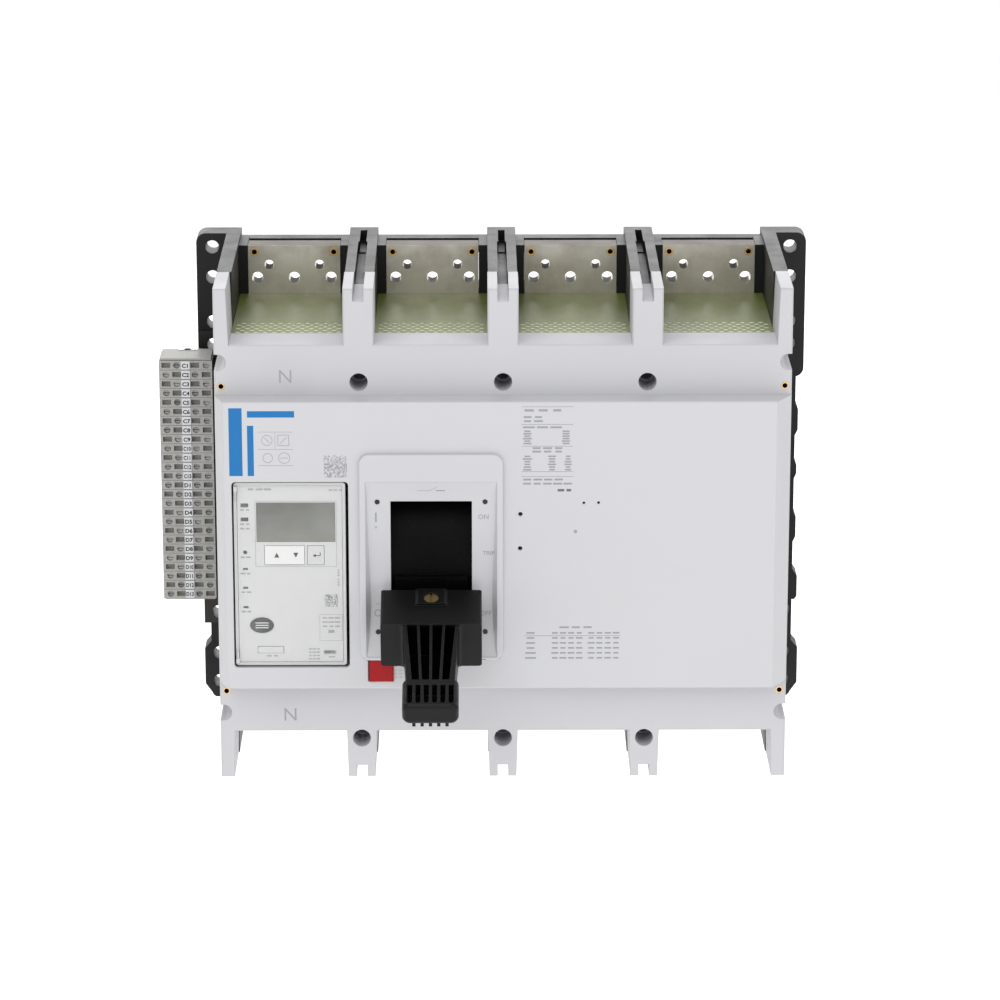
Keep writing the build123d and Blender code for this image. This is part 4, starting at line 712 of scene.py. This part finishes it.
def disc_tree():
    """A low disc on every point of the mesh it is given."""
    kinds = {"Radius": "NodeSocketFloat", "Thickness": "NodeSocketFloat", "Ink": "NodeSocketMaterial"}
    tree = tree_with_inputs("discs_on_points", kinds)
    disc_mesh = tree.add("GeometryNodeMeshCylinder", {}, {"Vertices": DISC_SIDES,
                                                          "Radius": given(tree, "Radius"),
                                                          "Depth": given(tree, "Thickness")})
    placed = tree.add("GeometryNodeInstanceOnPoints", {}, {"Points": given(tree, "Geometry"),
                                                           "Instance": disc_mesh})
    close_tree(tree, placed, given(tree, "Ink"))
    return tree.tree


PRINT_TREE = print_tree()
CODE_TREE = code_tree()
DISC_TREE = disc_tree()


def grown(name, tree, values, base=None):
    """Run a Geometry Nodes tree and keep the result as a plain mesh."""
    holder = bpy.data.objects.new(name, base or bpy.data.meshes.new(name))
    bpy.context.scene.collection.objects.link(holder)
    modifier = holder.modifiers.new("grow", "NODES")
    modifier.node_group = tree
    for item in tree.interface.items_tree:
        if item.in_out == "INPUT" and item.name in values:
            modifier[item.identifier] = values[item.name]
    bpy.context.view_layer.update()
    mesh = bpy.data.meshes.new_from_object(holder.evaluated_get(bpy.context.evaluated_depsgraph_get()))
    holder.modifiers.remove(modifier)
    bpy.data.objects.remove(holder)
    return mesh


LEAST_WIDTH = 0.01


def small_print(x0, x1, z0, z1, words, rows, letter, seed, face=PANEL_Y):
    """Rows of unreadable print in a rectangle, in mm. piece() gives the mesh its own ink."""
    width = (x1 - x0) * (1 - 1 / words)
    values = {"Words": words, "Rows": rows, "Width": max(width, LEAST_WIDTH) * MM,
              "Pitch": (x1 - x0) / words * MM, "Height": (z1 - z0) * MM, "Letter": letter * MM,
              "Thickness": INK * MM, "Seed": seed, "Ink": finishes["grey_ink"]}
    mesh = grown("rows", PRINT_TREE, values)
    at = ((x0 + x1) / 2 * MM, face - PRINT_SINK, (z0 + z1) / 2 * MM)
    mesh.transform(Matrix.Translation(at))
    return mesh


def code_square(x, z, side, cells, seed, face=PANEL_Y):
    """A square code of random cells, centred at (x, z) in mm. piece() gives the mesh its own ink."""
    values = {"Cells": cells, "Side": side * (1 - 1 / cells) * MM, "Thickness": INK * MM, "Seed": seed,
              "Ink": finishes["grey_ink"]}
    mesh = grown("code", CODE_TREE, values)
    at = (x * MM, face - PRINT_SINK, z * MM)
    mesh.transform(Matrix.Translation(at))
    return mesh


# %% [markdown]
# ## Labels of the front panel
# Right of the handle stands the rating label: heading rows, and columns of print between ruled
# lines. A table lower down, under one rule, stands for the screws' torques. A square code stands
# above the trip unit, and short pale notes stand left of the handle's lower end.

# %% Labels
HALF_RULE = 0.2
rules = [rect(14.4, 55.2, z - HALF_RULE, z + HALF_RULE) for z in (113.0, 98.6, 80.8, 60.0, 56.0)]
label = [slabs(rules, PANEL_Y), small_print(14.8, 48, 110, 110.1, 3, 1, 1.8, 1)]
label += [small_print(14.8, 32, 101.3, 104.6, 2, 2, 1.5, 2), small_print(14.8, 47, 96.2, 96.3, 3, 1, 1.5, 3)]
label += [small_print(15, 23, 83, 93, 1, 6, 1.3, 4), small_print(46, 53, 83, 93, 1, 6, 1.3, 5)]
label += [small_print(22, 48, 76.4, 79.2, 3, 2, 1.5, 6), small_print(15, 23, 61.5, 72.5, 1, 6, 1.3, 7)]
label += [small_print(35, 42, 61.5, 72.5, 1, 6, 1.3, 8), small_print(48, 54.5, 61.5, 72.5, 1, 6, 1.3, 9)]
label += [small_print(14.8, 48, 53.4, 53.5, 4, 1, 1.5, 10), small_print(14.8, 55, 50, 50.1, 5, 1, 1.5, 11)]
piece("rating_label", joined(label), "grey_ink")
piece("rating_code", small_print(42.5, 55, 44.6, 44.7, 2, 1, 2.0, 12), "dark_ink")
torque = [small_print(44, 72, -69.3, -69.2, 3, 1, 1.5, 20), slabs([rect(16.6, 93.5, -76.5, -76.1)], PANEL_Y)]
for seed, (x0, x1, count) in enumerate(((16.6, 27, 1), (38, 64, 4), (67, 93.5, 4)), start=21):
    torque.append(small_print(x0, x1, -95, -74, count, 6, 1.4, seed))
piece("torque_table", joined(torque), "grey_ink")
piece("panel_code", code_square(-132.7, 64.6, 18.2, 22, 5), "grey_ink")
piece("panel_notes", small_print(-88.5, -80, -111, -102, 2, 4, 1.4, 31), "pale_ink")

# %% [markdown]
# ## Words beside the handle
# The three places of the handle are marked ON, TRIP and OFF on its right and I and O on its left.
# They are printed on the curved floor of the handle's track, so each mark is draped over it: every
# corner of its mesh is moved along Y by the depth of the floor there.


# %% Marks on the track
IN_FRONT = 0.05


def draped(mesh, node):
    """Move a flat mark, made at the pad's face, onto the surface of a part."""
    depths = bpy.context.evaluated_depsgraph_get()
    skin = BVHTree.FromObject(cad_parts[node], depths)
    for corner in mesh.vertices:
        start = Vector((corner.co.x, PAD_Y - IN_FRONT, corner.co.z))
        hit = skin.ray_cast(start, Vector((0, 1, 0)))[0]
        if hit is not None:
            corner.co.y += hit.y - PAD_Y
    return mesh


words = [("ON", -15.7, 23.3, 4.0), ("TRIP", -11.7, -7.4, 3.4), ("OFF", -14.1, -58.3, 4.0), ("I", -101, 23, 8.0)]
marks = [lettering(text, x, z - tall / 2, tall, PAD_Y, "CENTER", weight=0.01) for text, x, z, tall in words]
SIGN_STROKE = 0.5
THIN_STROKE = 0.35
shapes = ring(-100, -58, 2.9, 0.7)
shapes += [stroke(-102.2, 14.6, -99.8, 14.6, SIGN_STROKE), stroke(-101, 13.4, -101, 15.8, SIGN_STROKE)]
shapes += [stroke(-101.2, -50.5, -98.8, -50.5, SIGN_STROKE)]
shapes += [stroke(-68, 45.2, -58.5, 45.2, THIN_STROKE), stroke(-58.5, 45.2, -52.9, 48.2, THIN_STROKE)]
shapes += [stroke(-53.4, 45.2, -46.2, 45.2, 0.9)]
piece("track_words", draped(joined(marks + [slabs(shapes, PAD_Y)]), "escutcheon"), "grey_ink")
piece("pad_dash", draped(slabs([rect(-22, -14, -95.3, -94.7)], PAD_Y), "escutcheon"), "dark_ink")

# %% [markdown]
# ## Print on the trip unit
# Its face carries a line round the display and the keys, names under the lamps, a box round the
# arrow key, a square code and notes. Arrows are printed on the keys and ride on them, and a thin line
# is printed round the clear cover and rides on that.

# %% Print on the trip unit
UNIT_SEED = 50
unit = [slabs(outline(-197.1, -132.3, -19.0, 35.1, THIN_STROKE), FASCIA_Y),
        slabs(outline(-187.5, -158.1, -17.9, -1.9, THIN_STROKE), FASCIA_Y),
        slabs(outline(-146.8, -128.5, -81.3, -59.0, THIN_RULE), FASCIA_Y)]
rows = [(-203.5, -183.4, 44.9, 3, 1.5), (-138.7, -127.2, 44.2, 3, 1.2), (-190, -179.2, -93.8, 2, 1.2)]
rows += [(-140, -134.5, -94.7, 1, 1.1)]
rows += [(-209.5, -200.5, z, 2, 1.3) for z in (27.9, 16.2, 12.5, -11.2, -24.8, -40.3, -56.6)]
for seed, (x0, x1, z, count, letter) in enumerate(rows, start=UNIT_SEED):
    unit.append(small_print(x0, x1, z, z + 0.01, count, 1, letter, seed, FASCIA_Y))
unit.append(small_print(-156.1, -146.4, -96.3, -88, 3, 4, 1.1, 70, FASCIA_Y))
unit.append(small_print(-145, -130, -69, -62, 3, 3, 1.1, 71, FASCIA_Y))
unit.append(small_print(-132.6, -130, -26.4, -22.2, 1, 3, 1.0, 72, FASCIA_Y))
unit.append(small_print(-132.6, -130, -34.4, -30, 1, 3, 1.0, 73, FASCIA_Y))
unit.append(small_print(-126.5, -125.2, -36.6, -20.6, 1, 8, 1.2, 74, FASCIA_Y))
piece("unit_print", joined(unit), "grey_ink")
piece("unit_code", code_square(-137.2, -47.5, 10.2, 16, 9, FASCIA_Y), "dark_ink")
piece("unit_lamp_mark", slabs([rect(-139.9, -135, -74.6, -72.1)], FASCIA_Y), "grey_ink")
TAB_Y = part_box("battery_tab")[0].y
lines = [rect(-198, -187.6, z - THIN_STROKE, z + THIN_STROKE) for z in (-66, -68, -70)]
piece("tab_lines", slabs(lines, TAB_Y), "white_ink")


def arrow(x, z, half, face, up):
    """A solid triangle that points up (1) or down (-1)."""
    return slabs([[(x - half, z - half * up), (x + half, z - half * up), (x, z + half * up)]], face)


ARROW_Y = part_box("arrow_key")[0].y
ENTER_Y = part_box("enter_key")[0].y
arrows = [arrow(-180.2, -9.5, 2.0, ARROW_Y, 1), arrow(-165, -9.5, 2.0, ARROW_Y, -1)]
piece("key_arrows", joined(arrows), "black_ink", "arrow_key")
enter = [stroke(-150.4, -9.9, -145.4, -9.9, 0.6), stroke(-145.6, -10.2, -145.6, -7.2, 0.6),
         [(-151.4, -9.9), (-149.2, -11.4), (-149.2, -8.4)]]
piece("enter_arrow", slabs(enter, ENTER_Y), "black_ink", "enter_key")
LID_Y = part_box("clear_cover")[0].y
piece("lid_line", slabs(outline(-212.5, -125.2, -98.9, 47.9, THIN_RULE), LID_Y), "pale_ink", "clear_cover")

# %% [markdown]
# ## Numbers of the terminal strip
# Two blocks of thirteen ways stand left of the case, with a white tag for each way.

# %% Tags
WAYS = 13
WAY_PITCH = 7.89
STRIP_TOP = 108.9
TAG_X = -261.0
TAG_LETTER = 3.6
ONE_DIGIT = 1.05
TWO_DIGITS = 0.78
tags = []
for block_name, first in (("C", 0), ("D", WAYS)):
    for i in range(WAYS):
        height = STRIP_TOP - (first + i + 0.5) * WAY_PITCH
        text = block_name + str(i + 1)
        slim = ONE_DIGIT if i < 9 else TWO_DIGITS
        tags.append(lettering(text, TAG_X, height - TAG_LETTER / 2, TAG_LETTER, TAG_Y, "CENTER", 0.035, slim))
piece("tag_numbers", joined(tags), "black_ink")

# %% [markdown]
# ## Painted light in the gas holes
# In each gas hole of the vent screens a pale round spot stands a little below the sheet's face: painted
# light, so that the holes look pale and lit. One Geometry Nodes tree sets all the spots.

# %% Gas hole spots
POLES = 4
POLE_PITCH = 114.3
SCREEN_FRONT = 187.0
HOLES = 12
HOLE_PITCH = 7.3
ROWS = 6
ROW_PITCH = 6.0
FIRST_ROW = 0.7
SPOT_DROP = 0.6
SPOT_RADIUS = 2.35
SPOT_THICK = 0.5
screen_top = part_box("line_vent_screens")[1].z / MM
spots = []
for pole in range(POLES):
    middle = (pole - (POLES - 1) / 2) * POLE_PITCH
    for row in range(ROWS):
        count = HOLES - row % 2
        depth = SCREEN_FRONT - ROW_PITCH * (row + FIRST_ROW)
        places = [middle + (i - (count - 1) / 2) * HOLE_PITCH for i in range(count)]
        spots += [(x, -depth, screen_top - SPOT_DROP) for x in places]
cloud = bpy.data.meshes.new("hole_places")
cloud.from_pydata([Vector(spot) * MM for spot in spots], [], [])
# Painted light: a pale disc in each gas hole makes the hole look lit.
spot = {"Radius": SPOT_RADIUS * MM, "Thickness": SPOT_THICK * MM, "Ink": finishes["pale_green"]}
piece("gas_hole_painted_light", grown("painted_light", DISC_TREE, spot, cloud), "pale_green")

# %% [markdown]
# ## Light, floor and world
# Soft studio light: a bright even surround, one wide lamp from the upper left, a weaker one from the
# right and one behind, over a plain pale floor that reaches behind the breaker as far as the camera
# sees. The floor lies well below the breaker, so that no shadow falls close to it.

# %% Studio
FLOOR_DROP = 0.45
FLOOR_Z = CASE_BOX[0][2] - FLOOR_DROP
FLOOR_HALF = 14.0
SURROUND = 0.80
LIT_PLACE = Vector((0, -0.1, 0))


def area_light(name, place, size, power):
    """A square soft box that faces the breaker."""
    data = bpy.data.lights.new(name, "AREA")
    data.size = size
    data.energy = power
    lamp = bpy.data.objects.new(name, data)
    bpy.context.scene.collection.objects.link(lamp)
    lamp.location = place
    lamp.rotation_euler = (LIT_PLACE - Vector(place)).to_track_quat("-Z", "Y").to_euler()


def pale_paper():
    """Pale studio paper, almost even, that glows a little."""
    paper = Finish("pale_paper", Emission_Strength=0.3)
    drift = paper.spread(paper.noise(3.0), 0.3, 0.7)
    white = paper.mix((0.90, 0.90, 0.90), (0.94, 0.94, 0.94), drift)
    return paper.surface(Base_Color=white, Emission_Color=white, Roughness=0.9)


def make_studio():
    """World, lamps and floor."""
    world = bpy.data.worlds.new("studio")
    world.use_nodes = True
    sky = world.node_tree.nodes["Background"]
    sky.inputs[0].default_value = (1.0, 1.0, 1.0, 1.0)
    sky.inputs[1].default_value = SURROUND
    bpy.context.scene.world = world
    bpy.context.scene.view_settings.view_transform = "Standard"
    area_light("key", (-0.9, -2.6, 2.3), 2.4, 35.0)
    area_light("fill", (1.8, -2.8, 0.4), 2.4, 14.0)
    area_light("behind", (0.0, 3.0, 1.4), 3.2, 60.0)
    mesh = bpy.data.meshes.new("floor")
    corners = rect(-FLOOR_HALF, FLOOR_HALF, -FLOOR_HALF, FLOOR_HALF)
    mesh.from_pydata([(x, y, FLOOR_Z) for x, y in corners], [], [(0, 1, 2, 3)])
    mesh.materials.append(pale_paper())
    floor = bpy.data.objects.new("floor", mesh)
    bpy.context.scene.collection.objects.link(floor)
    print("floor", round(-FLOOR_Z, 3), "m below the middle of the breaker")


make_studio()
